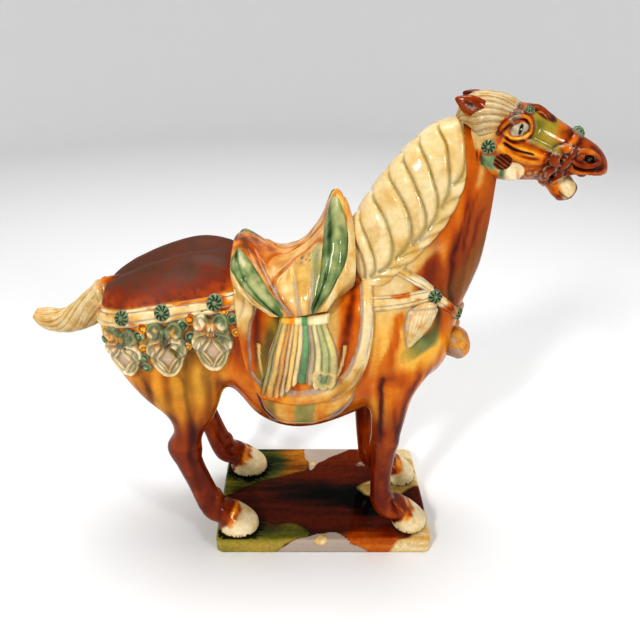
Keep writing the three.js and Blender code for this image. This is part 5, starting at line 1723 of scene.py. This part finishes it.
EYEBALL = (146.5, 21.2, 411)
EAR_LEAD = {1: 5, -1: 0}  # the far ear is pricked further forward
THROAT_LINE = [[122, 393], [125, 383], [131, 374], [141, 366]]
THROAT_PATCH = [[123, 391], [133, 391], [137, 381], [144, 368], [138, 362], [124, 376]]
NOSE_BAND = [[192, 409], [188, 402], [182, 397]]
CHEEK_STRAP = [[139, 418], [152, 405], [160, 402], [168, 398], [178, 394]]
CHEEK_CREASE = [[138, 401], [145, 397], [152, 395], [160, 393.5]]
UPPER_RIDGE = [[135, 404.5], [143, 400], [153, 396], [162, 393], [170, 391]]
LOWER_RIDGE = [[133, 400], [141, 394], [150, 389.5], [160, 387], [170, 387]]
UPPER_LID = [
    [133, 408], [136.5, 414.5], [142, 419], [148, 420.5], [153, 418.5], [155.5, 413], [155, 406.5],
]
LID_CREASE = [[135.5, 408], [140, 413.5], [146, 417], [151, 417], [153, 411]]
LOWER_LID = [[137, 408.5], [141, 405.5], [146, 404.5], [151, 405.5], [154, 408]]
LOWER_CREASE = [[138, 405.5], [142, 402.5], [147, 401.5], [152, 403.5]]
NOSTRIL_RING = [
    [190, 393], [195, 396], [201, 395.5], [207, 392], [209, 388], [204, 385.5], [197, 385.5], [191, 388],
]
NOSTRIL_CREASE = [[190, 386.5], [197, 382.5], [205, 383], [213, 386]]
LIP_RIDGE = [[189, 381], [199, 380.5], [209, 379.5], [217, 381]]
LIP_CREASE = [[195, 377], [203, 376.5], [211, 376.5]]
BIT_FRONT = [[190, 396], [186.5, 392], [185.5, 387], [182, 382.5], [182.5, 377], [179, 371]]
BIT_BACK = [
    [185, 397.5], [178.5, 396], [175.5, 390.5], [178, 385], [173.5, 380], [171.5, 374.5], [175.5, 370],
]
BIT_COIL = [[187, 394], [184.5, 397], [181, 395], [181.5, 391], [185, 390]]
BIT_SWELL = [[0, 1], [0.3, 1.15], [0.5, 0.85], [0.75, 1.1], [1, 1]]
MOUTH_LINE = [[193, 378], [188, 380], [185, 384]]
CHEEK_CAP = (139.5, 386)
CHEEK_BULB = (147.3, 377.8)

# Lines raised or cut in the head's skin: the line, its half-width, and its height, below 0 for a groove
HEAD_RELIEF = [
    (UPPER_LID, 2.6, 2.5), (LID_CREASE, 0.9, -1.7), (LOWER_LID, 1.5, 2.0), (LOWER_CREASE, 1.0, -1.7),
    (UPPER_RIDGE, 2.6, 2.1), (CHEEK_CREASE, 0.9, -2.2), (LOWER_RIDGE, 3.0, 2.6), (CHEEK_STRAP, 1.8, 1.1),
    (NOSE_BAND, 2.9, 1.7), (NOSTRIL_CREASE, 1.1, -1.9), (LIP_RIDGE, 2.4, 2.3), (LIP_CREASE, 0.8, -1.3),
    (MOUTH_LINE, 1.0, -1.6), ([[150, 385], [160, 381.5], [170, 381]], 1.4, -1.3),
    ([[152, 423], [163, 420], [174, 414]], 1.2, -0.8), ([[172, 409], [180, 404], [186, 396]], 1.5, -0.8),
    ([[158, 376], [166, 378], [174, 372]], 1.6, 1.2), ([[186, 391], [189, 387], [191, 383]], 1.3, 1.2),
    ([[155, 377], [160, 374], [165, 376]], 1.2, 0.9), ([[207, 401], [211, 395], [213, 389]], 1.3, -0.6),
]


def head_side(side, at, half, tilt=0.0):
    """Ellipsoid on one side of the head. The second number of at is its distance out from the middle."""
    return ball((at[0], side * at[1], at[2]), half, tilt)


def laid(skin, side, line, sink, count=30):
    """Points of a side-view line, on the skin of one side and sunk into it."""
    path = curve(line, count)
    start = np.stack([path[:, 0], np.full(count, side * 50.0), path[:, 1]], -1)
    hit = skin.land(start, np.array([0.0, -side, 0.0]))
    return hit - skin.normal(hit) * sink


def ear_rows(side):
    x = EAR_LEAD[side]
    return stations([
        [125 + x, side * 13, 416, 150, 5.5, 6.5, 7], [116 + x, side * 15.5, 422.5, 150, 5.8, 7.5, 7.8],
        [108 + x, side * 18, 426.5, 156, 5, 7, 7], [102 + x, side * 19, 429, 162, 2.8, 3.8, 3.8],
        [98 + x, side * 19.5, 430.5, 165, 0.8, 1, 1],
    ])


def band_share(x, z, line, width, edge=0.7):
    """1 on a line of the side view and 0 away from it."""
    gap, _ = line_distance(x, z, curve(line, 24))
    return smooth(width + edge, width - edge, gap)


def bar(gap, width):
    """1 over a band and 0 away from it, with soft edges."""
    return np.exp(-((gap / width) ** 4))


def crossing(x, z):
    """Distance in the side view from the middle of the band that crosses the brow."""
    return x - 144.5 + 0.25 * (430 - z)


def carve_head(head, lattice):
    """Raises and cuts the lines of the head's skin, where it faces sideways. They hold for both sides."""
    x, y, z = lattice.axes()
    x, z = np.meshgrid(x, z, indexing="ij")
    relief = np.zeros(x.shape)
    for line, width, height in HEAD_RELIEF:
        gap, share = line_distance(x, z, curve(line, 20))
        ends = smooth(0, 0.12, share) * smooth(1, 0.88, share)
        relief += height * bump(gap, width) * (0.25 + 0.75 * ends)
    throat, _ = line_distance(x, z, curve(THROAT_LINE, 20))
    relief += 1.4 * bar(throat - 5, 4.2) * (x > 120) * smooth(396, 390, z)
    facing = smooth(0.1, 0.45, np.abs(np.gradient(head, lattice.step, axis=1)))
    facing *= smooth(2, 6, np.abs(y))[None, :, None]
    brow = bar(crossing(x, z), 4.2) * smooth(412, 416, z)
    nose = bar(line_distance(x, z, curve(NOSE_BAND, 8))[0], 2.6) * (z > 394)
    over_top = 1.1 * brow + 0.4 * bump(crossing(x, z), 1.2) * brow + 1.2 * nose
    relief = relief[:, None] * facing
    return (head - np.maximum(relief, over_top[:, None])).astype(np.float32)


RIB_SPACE = 1.15  # radians of the ribs' wave to a millimetre
RIB_DEPTH = 0.8
BROW_TUFT = (163, -6.5, 419.8)


def ribbed(head, lattice):
    """Cuts ribs in the brow ornament and in the caps of the cheek bells."""
    x, y, z = np.moveaxis(lattice.places(), -1, 0)
    on_brow = smooth(1.25, 0.95, np.hypot((x - BROW_TUFT[0]) / 11, (y - BROW_TUFT[1]) / 7.2)) * (z > 410)
    on_cap = smooth(1.2, 1.0, np.hypot(x - CHEEK_CAP[0], z - CHEEK_CAP[1]) / 6.4) * (np.abs(y) > 14)
    ribs = smooth(0.45, 0.1, brow_ribs(y)) * on_brow + smooth(0.45, 0.1, cap_ribs(x, z)) * on_cap
    return head + RIB_DEPTH * ribs


def brow_ribs(y):
    return np.abs(np.sin((y - BROW_TUFT[1]) * RIB_SPACE))


def cap_ribs(x, z):
    return np.abs(np.sin(((z - 383) * 0.8 + (x - 140) * 0.55) * RIB_SPACE))


def make_head():
    lattice = Lattice((88, -36, 342), (222, 36, 446), 0.7)
    head = lattice.field(loft(HEAD, 90, 64))
    for side in (-1, 1):
        for at, half, tilt, blend in (
            ((146, 20, 411), (13, 6.5, 9.5), 18, 4),
            ((156, 18, 396), (22, 6.5, 6), 17, 4),
            ((199, 12, 389), (12, 7, 8), 28, 3),
            ((128, 20, 395), (9, 6, 11), 0, 5),
        ):
            head = melt(head, lattice.field(head_side(side, at, half, tilt)), blend)
        head = dig(head, lattice.field(head_side(side, (147, 28.3, 411.5), (9.5, 4.6, 6.2), 14)), 1.5)
        head = melt(head, lattice.field(head_side(side, EYEBALL, (6.2, 4.4, 4.5), 14)), 0.7)
    head = dig(head, lattice.field(ball((201, 0, 372), (14, 30, 8), -5)), 3)
    head = melt(head, lattice.field(ball((201, 0, 377.2), (4.5, 11, 3.8))), 3)
    head = dig(head, lattice.field(ball((214, 0, 368), (9.5, 30, 8.5), -25)), 3)
    jaw = melted(lattice, [loft(JAW, 60, 36), ball((188.5, 0, 365.5), (9.2, 9.6, 9.6))], 2)
    head = melt(head, jaw, 2)
    head = carve_head(head, lattice)
    skin = Skin(lattice, head.copy())
    for side in (-1, 1):
        ring = tube([*laid(skin, side, closed_curve(NOSTRIL_RING, 20), 0.3)], 2.0)
        hole = head_side(side, (201.5, 18, 390.4), (5.0, 7, 2.7), 14)
        head = dig(melt(head, lattice.field(ring), 1.5), lattice.field(hole), 1.2)
        head = melt(head, lattice.field(head_side(side, (194.5, 15.8, 391.3), (3.8, 3.6, 3.8))), 1.0)
        coil = tube([*laid(skin, side, closed_curve(BIT_COIL, 12), -1.2)], 1.5)
        head = melt(head, lattice.field(coil), 0.6)
        for line, radius in ((BIT_BACK, 3.7), (BIT_FRONT, 3.1)):
            swell = [[share, radius * times] for share, times in BIT_SWELL]
            head = melt(head, lattice.field(tube([*laid(skin, side, line, -1.3)], swell)), 0.6)
        cap = head_side(side, (CHEEK_CAP[0], 18.2, CHEEK_CAP[1]), (6.0, 5.6, 5.4), 35)
        bulb = head_side(side, (CHEEK_BULB[0], 15.0, CHEEK_BULB[1]), (9.2, 7.8, 7.6), 20)
        head = melt(melt(head, lattice.field(bulb), 0.9), lattice.field(cap), 0.7)
        head = melt(head, lattice.field(loft(ear_rows(side), 40, 30)), 2.5)
        hollow = head_side(side, (109 + EAR_LEAD[side], 26.4, 427), (8.6, 5.0, 3.2), 26)
        head = dig(head, lattice.field(hollow), 1.0)
    head = melt(head, lattice.field(ball(BROW_TUFT, (10.5, 6.4, 4.6), 36)), 0.8)
    head = ribbed(head, lattice)
    SKIN["head"] = Skin(lattice, head)

    points, *faces = lattice.mesh(head.astype(np.float32))
    glaze, bare = head_glaze((points, *faces))
    points = turned_head(points)
    throat = 0.7 * smooth(142, 134, points[:, 0]) * smooth(414, 408, points[:, 2])
    horse_piece("head", (points, *faces), glaze, bare, throat)
    make_head_studs()


def head_glaze(solid):
    """Amber cheeks, olive brow, red-brown muzzle and ears, cream throat and tongue, dirt by the straps, and
    painted shade in the hollows, creases, nostril and the eye's rear corner.
    """
    points = solid[0]
    hollow = neighbour_mean(solid, hollows(solid, 5), 1)
    x, y, z = points.T
    cloud = noise(points, 9, 151, 3)
    fine = noise(points, 1.5, 152, 2)
    # depth darkens the hollows and lightens the edges: glaze pooled there, strengthened into painted shade
    depth = 0.35 * cloud + np.clip(hollow * 3.6, -0.35, 1.1)
    glaze = amber(depth + 0.02)

    def paint(tone, share):
        nonlocal glaze
        glaze = mix(glaze, tone, np.clip(share, 0, 1))

    paint(cream(0.6 + depth), smooth(143, 133, x + 3 * cloud) * smooth(392, 398, z) * smooth(416, 408, z))
    paint(brown(1.3 * depth + 0.05), smooth(177, 185, x + 3 * cloud))
    lips = 0.6 * band_share(x, z, LIP_RIDGE, 1.8, 1.5) + 0.5 * band_share(x, z, NOSTRIL_RING[:5], 1.5, 1.2)
    paint(amber(0.35 + depth), lips)
    cheek = band_share(x, z, LOWER_RIDGE, 3.2, 2.5) + band_share(x, z, UPPER_RIDGE, 2.6, 2.5)
    paint(amber(-0.45 + depth + 0.5 * smooth(158, 172, x)), cheek)
    bit = band_share(x, z, BIT_FRONT, 2.6, 1.2) + band_share(x, z, BIT_BACK, 3.0, 1.2)
    paint(brown(0.05 + depth), bit)
    brow = smooth(152, 156, x + 2 * cloud) * smooth(186, 172, x - 2 * cloud)
    brow = brow * smooth(398, 402, z + 0.35 * (x - 160))
    paint(olive(-0.1 + 0.8 * depth), 0.95 * brow)
    paint(amber(0.3 + depth), 0.7 * smooth(173, 180, x) * smooth(188, 182, x) * smooth(398, 402, z))
    paint(brown(0.1 + depth), band_share(x, z, UPPER_LID, 2.6, 1.0))
    paint(amber(-0.2 + depth), band_share(x, z, UPPER_LID, 1.0, 1.2) * smooth(0.1, -0.15, hollow) * 0.8)
    # Painted shade: dark brown in the rear part of the lid's crease
    paint(brown(1.0), band_share(x, z, LID_CREASE, 0.4, 0.5) * smooth(144, 139, x) * (np.abs(y) > 14))
    paint(amber(0.15 + depth), band_share(x, z, NOSE_BAND, 2.8, 0.8) * (z > 393))
    # Painted shade: dark brown in the cheek and nostril creases
    crease_shade = band_share(x, z, CHEEK_CREASE, 0.8, 0.7) + band_share(x, z, NOSTRIL_CREASE, 0.5, 0.6)
    paint(brown(1.0 + depth), crease_shade)
    tuft = smooth(1.15, 0.95, np.hypot((x - BROW_TUFT[0]) / 11, (y - BROW_TUFT[1]) / 7.6)) * (z > 411)
    paint(brown(0.2 + depth), tuft)
    paint(cream(0.6), 0.75 * tuft * smooth(0.4, 0.1, brow_ribs(y)))
    throat = mix(green(-0.35 + depth), amber(0.1 + depth), smooth(380, 372, z + 3 * cloud))
    paint(throat, smooth(1.5, -1.5, outline_distance(x, z, THROAT_PATCH)))
    cap = smooth(1.12, 0.98, np.hypot(x - CHEEK_CAP[0], z - CHEEK_CAP[1]) / 6.4) * (np.abs(y) > 12)
    paint(brown(0.45 + depth), cap)
    on_ribs = smooth(0.55, 0.95, cap_ribs(x, z)) * smooth(-0.5, 0.4, cloud + 0.3)
    paint(amber(0.1 + depth), 0.6 * cap * on_ribs)
    bulb = smooth(1.1, 1.0, np.hypot((x - CHEEK_BULB[0]) / 9.2, (z - CHEEK_BULB[1]) / 8.0))
    bulb = bulb * (1 - cap) * (np.abs(y) > 8)
    paint(cream(-0.5 + depth), bulb)
    paint(green(-0.2 + depth), bulb * smooth(144.5, 141.5, x + cloud))
    paint(amber(-0.2 + depth), 0.8 * bulb * bump(x - 152 + 0.3 * (z - 378), 1.3) * smooth(382, 378, z))
    lead = EAR_LEAD[1] * (y > 0)
    ears = (x < 121 + lead) * smooth(416, 419, z + 0.4 * (x - 112))
    paint(brown(0.15 + depth), ears)

    # Open mouth: cream and amber blob of the tongue and lower lip
    blob = smooth(1.12, 1.0, np.hypot((x - 188.5) / 9.8, (z - 365.5) / 10.2)) * smooth(376.5, 374, z)
    tongue = smooth(-2, 3, (x - 187) + 0.5 * (z - 365))
    paint(mix(amber(-0.1 + depth + 0.7 * smooth(362, 357, z)), cream(depth), tongue), blob)
    paint(brown(1.0), 0.8 * blob * bump((x - 191) * 0.7 + (z - 359.5), 0.8) * (x > 186))

    # Eye: pale ball with an upright pupil, its rear corner painted brown as the shadow of the upper lid
    in_eye = smooth(1.1, 0.9, np.hypot((x - 147) / 6.4, (z - 411 - 0.25 * (x - 147)) / 4.4))
    in_eye = in_eye * (np.abs(y) > 18)
    paint(mix(colour(0xBFB49C), colour(0x6E4A30), 0.8 * smooth(143.5, 140.5, x)), in_eye)
    pupil = smooth(1.2, 0.85, np.hypot((x - 148.2 - 0.12 * (z - 411)) / 1.4, (z - 411) / 4.0)) * in_eye
    paint(colour(0x10150E), pupil)
    paint(amber(-0.8 + depth), band_share(x, z, LOWER_LID, 1.4, 0.6) * (np.abs(y) > 15))

    # Painted shade: dark brown laid in the hollows of the face
    paint(colour(0x2A1208), 0.75 * smooth(0.1, 0.42, hollow) * (x > 128))
    bare = smooth(0.35, 0.85, hollow) * 0.45
    for line, width in ((BIT_FRONT, 2.9), (BIT_BACK, 3.2)):
        gap, _ = line_distance(x, z, curve(line, 24))
        bare = np.maximum(bare, 0.8 * bump(gap - width, 0.9) * smooth(-0.9, 0.9, fine))
    bare = np.maximum(bare, 0.7 * band_share(x, z, CHEEK_STRAP, 1.1, 0.9) * smooth(-0.8, 0.8, fine))
    chin = smooth(1.2, 0.6, np.hypot((x - 167) / 12, (z - 375.5) / 5.5)) * (1 - bulb)
    bare = np.maximum(bare, 0.6 * chin * smooth(-0.9, 0.9, fine))
    brow_dirt = bar(crossing(x, z) - 0.5, 4.6) * smooth(415, 419, z)
    bare = np.maximum(bare, 0.45 * brow_dirt * smooth(-1.2, 1.0, fine))
    ear_x = x - 109 - lead
    in_ear = smooth(1.15, 0.85, np.hypot(ear_x / 8.2, (z - 426.5 + 0.45 * ear_x) / 3.2)) * ears
    bare = np.maximum(bare, 0.55 * in_ear * (np.abs(y) > 19) * smooth(-0.8, 0.8, fine))
    nose_hole = smooth(1.15, 0.8, np.hypot((x - 201.5) / 5.2, (z - 390.4) / 2.8)) * (np.abs(y) > 8)
    # Painted shade: brown inside the nostril, with grime from the bare share below
    paint(brown(0.9), nose_hole)
    bare = np.maximum(bare, 0.5 * nose_hole * smooth(-0.3, 0.4, fine))
    bare *= 1 - 0.85 * in_eye
    paint(GRIME, 0.8 * bare + 0.6 * brow_dirt)
    soot = smooth(0.1, 0.7, -fine) * smooth(0.2, 0.5, bare + 0.4 * brow_dirt + 0.4 * chin)
    paint(colour(0x1C1410), 0.55 * soot)
    return glaze, 0.75 * bare


def looking(skin, centre, look):
    """Chart of places a, b round a centre, on the skin as met from one direction."""
    look = np.array(look, float)
    look /= np.linalg.norm(look)
    across = np.cross((0.0, 0.0, 1.0), look)
    across /= np.linalg.norm(across)
    upward = np.cross(look, across)

    def land(a, b, height):
        start = np.array(centre, float) + 12 * look + a[..., None] * across + b[..., None] * upward
        return skin.land(start, -look) + np.asarray(height)[..., None] * look

    return land


HEAD_ROSETTES = [
    ((128, -20, 397), (-0.12, -1, 0.1), 5.4, 9),
    ((128, 20, 397), (-0.12, 1, 0.1), 5.4, 9),
    ((153, -13.5, 422.5), (-0.1, -1, 0.7), 3.9, 8),
    ((190.5, -4, 405.5), (0.45, -0.55, 0.9), 5.0, 8),
]


def make_head_studs():
    studs = []
    for k, (centre, look, radius, petals) in enumerate(HEAD_ROSETTES):
        studs.append(rosette(looking(SKIN["head"], centre, look), radius, petals, 260 + k))
    joined_piece("head_studs", studs, turned_head)


# The slab

SLAB_CORNER = 8
SLAB_EDGE = 3.5
GLAZE_THICKNESS = 0.35
SLAB_CENTRE = (SLAB_LOW + SLAB_HIGH)[:2] / 2
SLAB_HALF = (SLAB_HIGH - SLAB_LOW)[:2] / 2


def slab_outline(inset):
    """Rounded rectangle, inset from the slab's sides. It has the same number of points at every inset."""
    radius = SLAB_CORNER - inset / 2
    half = SLAB_HALF - inset - radius
    corners = []
    for sx, sy, start in ((1, 1, 0), (-1, 1, 90), (-1, -1, 180), (1, -1, 270)):
        turn = np.radians(start + np.linspace(0, 90, 7))
        arc = [sx * half[0] + radius * np.cos(turn), sy * half[1] + radius * np.sin(turn)]
        corners.append(np.stack(arc, -1))
    sides = []
    for k in range(4):
        after = corners[(k + 1) % 4][0]
        parts = (90, 140)[k % 2]
        sides.append(corners[k][:-1])
        last = corners[k][-1]
        sides.append(last + (after - last) * np.linspace(0, 1, parts, endpoint=False)[:, None])
    return np.concatenate(sides)


# Fields of glaze on the slab, as [x, y] outlines; y runs on down the front face
FAR_FIELD = [[-125, 95], [-18, 95], [-15, 50], [-45, 36], [-85, 18], [-125, 6]]
NEAR_FIELD = [
    [-125, -22], [-98, -30], [-62, -34], [-34, -38], [-18, -48], [-20, -56], [-42, -66], [-60, -85],
    [-125, -90],
]
FAR_BARE = [[-16, 95], [50, 95], [39, 82], [28, 74], [6, 60], [-12, 45], [-16, 60]]
NEAR_BARE = [[-50, -85], [-40, -66], [-26, -57], [0, -53.5], [22, -56], [30, -66], [46, -85]]
AMBER_FIELD = [[24, -85], [22, -57], [38, -46], [62, -43], [82, -52], [84, -85]]
CREAM_FIELDS = [
    [[92, 95], [90, 34], [60, 27], [46, 20], [43, 12], [52, 1], [80, -1], [96, 6], [110, 16], [125, 22],
     [125, 95]],
    [[74, -85], [78, -60], [96, -52], [106, -28], [125, -24], [125, -85]],
]


def slab_glaze(points):
    """Oxblood in the middle, olive by the hind hooves, cream and amber in front, bare clay between."""
    x, y, z = points.T
    warp = noise(points, 26, 61, 2)
    fine = noise(points, 5, 62, 2)
    long = noise(points, (70, 6, 9), 64, 3)
    u, v = x + 3 * warp, y + 3 * noise(points, 26, 63, 2) + 0.9 * np.minimum(z, 0) * (y < 0)

    def field(outline, soft=0.8):
        return smooth(soft, -soft, outline_distance(u, v, closed_curve(outline, 90)))

    # deep holds the glaze run together along the middle, and a painted shadow under the horse's belly
    deep = 0.25 * long + 1.15 * lane(u, v) - 0.25 * smooth(30, 60, v) * smooth(-40, 0, u)
    pooled = amber(-0.05 + 0.3 * long + 0.5 * smooth(-56, -46, v))
    glaze = mix(oxblood(deep), pooled, 0.9 * field(AMBER_FIELD, 5))
    far, near = field(FAR_FIELD), field(NEAR_FIELD)
    shade = smooth(34, 12, np.hypot(x + 66, (y - 54) * 1.2))
    glaze = mix(glaze, olive(0.45 + 0.4 * long + 0.8 * shade), far)
    glaze = mix(glaze, amber(0.1 + 0.4 * long), 0.55 * far * smooth(-60, -36, u) * (1 - shade))
    shade = smooth(30, 8, np.hypot(x + 66, (y + 38) * 1.5))
    glaze = mix(glaze, olive(0.1 + 0.4 * long + 0.9 * shade - 0.5 * smooth(-52, -62, v)), near)
    glaze = mix(glaze, amber(0.2 + 0.3 * long), 0.35 * near * smooth(-48, -30, v))
    light = np.clip(sum(field(outline, 2) for outline in CREAM_FIELDS), 0, 1)
    olive_share = 0.5 * smooth(30, 12, v) * smooth(-10, 0, v)
    glaze = mix(glaze, mix(cream(0.1 + 0.5 * long), olive(-0.6 + 0.4 * long), olive_share), light)

    near_bare, far_bare = field(NEAR_BARE), field(FAR_BARE)
    bare = np.clip(near_bare + far_bare, 0, 1)
    outlines = [FAR_FIELD, NEAR_FIELD, NEAR_BARE, FAR_BARE]
    rims = np.min([np.abs(outline_distance(u, v, closed_curve(line, 90))) for line in outlines], axis=0)
    glaze = mix(glaze, colour(0x1C120C), 0.7 * smooth(1.5, 0.4, rims) * (1 - bare))
    drop = smooth(1.0, -1.0, pool(x + 1.2 * fine, v, (-2, -62), (7.5, 7)))
    drop += smooth(1.0, -1.0, pool(x + fine, y, (-9, 54), (5, 4)))
    glaze = mix(glaze, cream(0.1 + 0.3 * fine), np.clip(drop, 0, 1))
    bare = bare * (1 - np.clip(drop, 0, 1))
    bare = np.maximum(bare, 0.6 * smooth(9, 5, np.hypot(x - 50, y - 56)) * smooth(-0.4, 0.5, fine))
    fringe = np.max([hoof_fringe(points, foot) for foot in FEET.values() if foot["x"] < 0], axis=0)
    glaze = mix(glaze, colour(0x14100C), 0.92 * fringe * (z > -0.6))
    return glaze, bare * (1 - fringe)


def hoof_fringe(points, foot):
    """Short dark runs of glaze that spread from under a hoof."""
    x, y, _ = points.T
    comb = teeth(points, foot, 2.4, 65)
    reach = np.hypot((x - foot["x"]) / foot["length"], (y - foot["y"]) / foot["width"])
    return smooth(1.36 + 0.22 * comb, 1.2 + 0.2 * comb, reach)


def pool(x, y, centre, half):
    """About the distance in mm outside an oval pool, below 0 inside it."""
    share = np.hypot((x - centre[0]) / half[0], (y - centre[1]) / half[1])
    return (share - 1) * min(half)


def lane(x, y):
    """Dark lane where the glaze ran together along the slab's middle, and a painted shadow under the horse's
    belly.
    """
    aside = np.abs(y - 2 + 0.12 * (x - 20))
    # Painted shadow: darker under the horse's belly
    shadow_under_horse = 0.5 * smooth(26, 8, np.hypot(x - 45, (y + 8) / 1.4))
    return smooth(30, 3, aside) * smooth(-95, 10, x) * smooth(112, 84, x) + shadow_under_horse


def make_slab():
    thickness = SLAB_HIGH[2] - SLAB_LOW[2]
    upper_edge = thickness - SLAB_EDGE
    base, inner = slab_outline(0), slab_outline(SLAB_EDGE)
    rings = [np.c_[base, np.full(len(base), z)] for z in np.linspace(0, upper_edge, 9)]
    for turn in np.radians([18, 36, 54, 72, 90]):
        flat = inner + (base - inner) * math.cos(turn)
        rings.append(np.c_[flat, np.full(len(base), upper_edge + SLAB_EDGE * math.sin(turn))])
    rings += [np.c_[inner * share, np.full(len(base), thickness)] for share in np.linspace(0.985, 0.02, 38)]
    rings = np.array(rings) + [*SLAB_CENTRE, SLAB_LOW[2]]
    points, quads, triangles = outward(capped(rings))
    points = points - HORSE_PLACE
    glaze, bare = slab_glaze(points)
    points[:, 2] -= GLAZE_THICKNESS * bare * smooth(-0.5, 0, points[:, 2])
    solid = points, quads, triangles
    mesh_object("slab", solid, glaze, bare, 0.0, "base_slab", SLAB_GLAZE)


MAKERS = [
    make_body, make_legs, make_slab, make_blanket, make_undercloth, make_saddle, make_cushions, make_drapes,
    make_mane, make_tail, make_forelock, make_head, make_harness,
]


# Stage, lights and camera


def plain_material(name, tone, roughness):
    material = bpy.data.materials.new(name)
    material.use_nodes = True
    shader = material.node_tree.nodes["Principled BSDF"]
    shader.inputs["Base Color"].default_value = (*tone, 1)
    shader.inputs["Roughness"].default_value = roughness
    return material


STAGE_RADIUS = 2.2  # the floor is flat this far out, and then curves up all round
STAGE_CURVE = 1.0
STAGE_WALL = 2.6


def make_floor():
    """Pale floor that rises into a wall of the same colour, the same from every side."""
    bend = np.radians(np.linspace(0, 90, 13))
    profile = [(0.3, 0.0), (0.9, 0.0), (1.5, 0.0)]
    profile += [(STAGE_RADIUS + STAGE_CURVE * math.sin(t), STAGE_CURVE * (1 - math.cos(t))) for t in bend]
    profile.append((STAGE_RADIUS + STAGE_CURVE, STAGE_WALL))
    turn = np.linspace(0, 2 * math.pi, 96, endpoint=False)
    points = [(0.0, 0.0, 0.0)]
    points += [(r * math.cos(t), r * math.sin(t), z) for r, z in profile for t in turn]
    quads = grid_quads(len(profile), len(turn), ring=True) + 1
    faces = quads[:, ::-1].tolist() + [(0, 1 + k, 1 + (k + 1) % len(turn)) for k in range(len(turn))]
    mesh = bpy.data.meshes.new("floor")
    mesh.from_pydata(points, [], faces)
    mesh.polygons.foreach_set("use_smooth", np.ones(len(faces), bool))
    mesh.materials.append(plain_material("pale_floor", (0.8, 0.8, 0.8), 0.9))
    floor = bpy.data.objects.new("floor", mesh)
    bpy.context.scene.collection.objects.link(floor)


def area_light(name, place, size, power):
    light = bpy.data.lights.new(name, "AREA")
    light.shape = "RECTANGLE"
    light.size, light.size_y = size
    light.energy = power
    obj = bpy.data.objects.new(name, light)
    obj.location = place
    obj.rotation_euler = (Vector((0, 0, 0.22)) - Vector(place)).to_track_quat("-Z", "Y").to_euler()
    bpy.context.scene.collection.objects.link(obj)


def make_lights():
    world = bpy.data.worlds.new("studio")
    world.use_nodes = True
    background = world.node_tree.nodes["Background"]
    background.inputs["Color"].default_value = (1, 1, 1, 1)
    background.inputs["Strength"].default_value = 0.24
    bpy.context.scene.world = world
    area_light("left_softbox", (-1.3, -1.9, 1.9), (0.24, 0.5), 30)
    area_light("right_softbox", (1.7, -1.5, 1.3), (0.2, 0.6), 11)
    area_light("top_softbox", (0.0, 0.3, 2.3), (1.5, 1.0), 24)


CAMERA = {"place": (-0.022, -0.4768, 0.505), "pitch": 28.732, "lens": 31.5, "shift_x": 0.0266}


def make_camera():
    lens = bpy.data.cameras.new("camera")
    lens.sensor_width = 36
    lens.lens = CAMERA["lens"]
    lens.shift_x = CAMERA["shift_x"]
    lens.clip_start = 0.02
    camera = bpy.data.objects.new("camera", lens)
    camera.location = CAMERA["place"]
    camera.rotation_euler = (math.radians(90 - CAMERA["pitch"]), 0, 0)
    scene = bpy.context.scene
    scene.collection.objects.link(camera)
    scene.camera = camera
    scene.view_settings.view_transform = "Standard"
    scene.view_settings.look = "High Contrast"


for make in MAKERS:
    make()
make_floor()
make_lights()
make_camera()
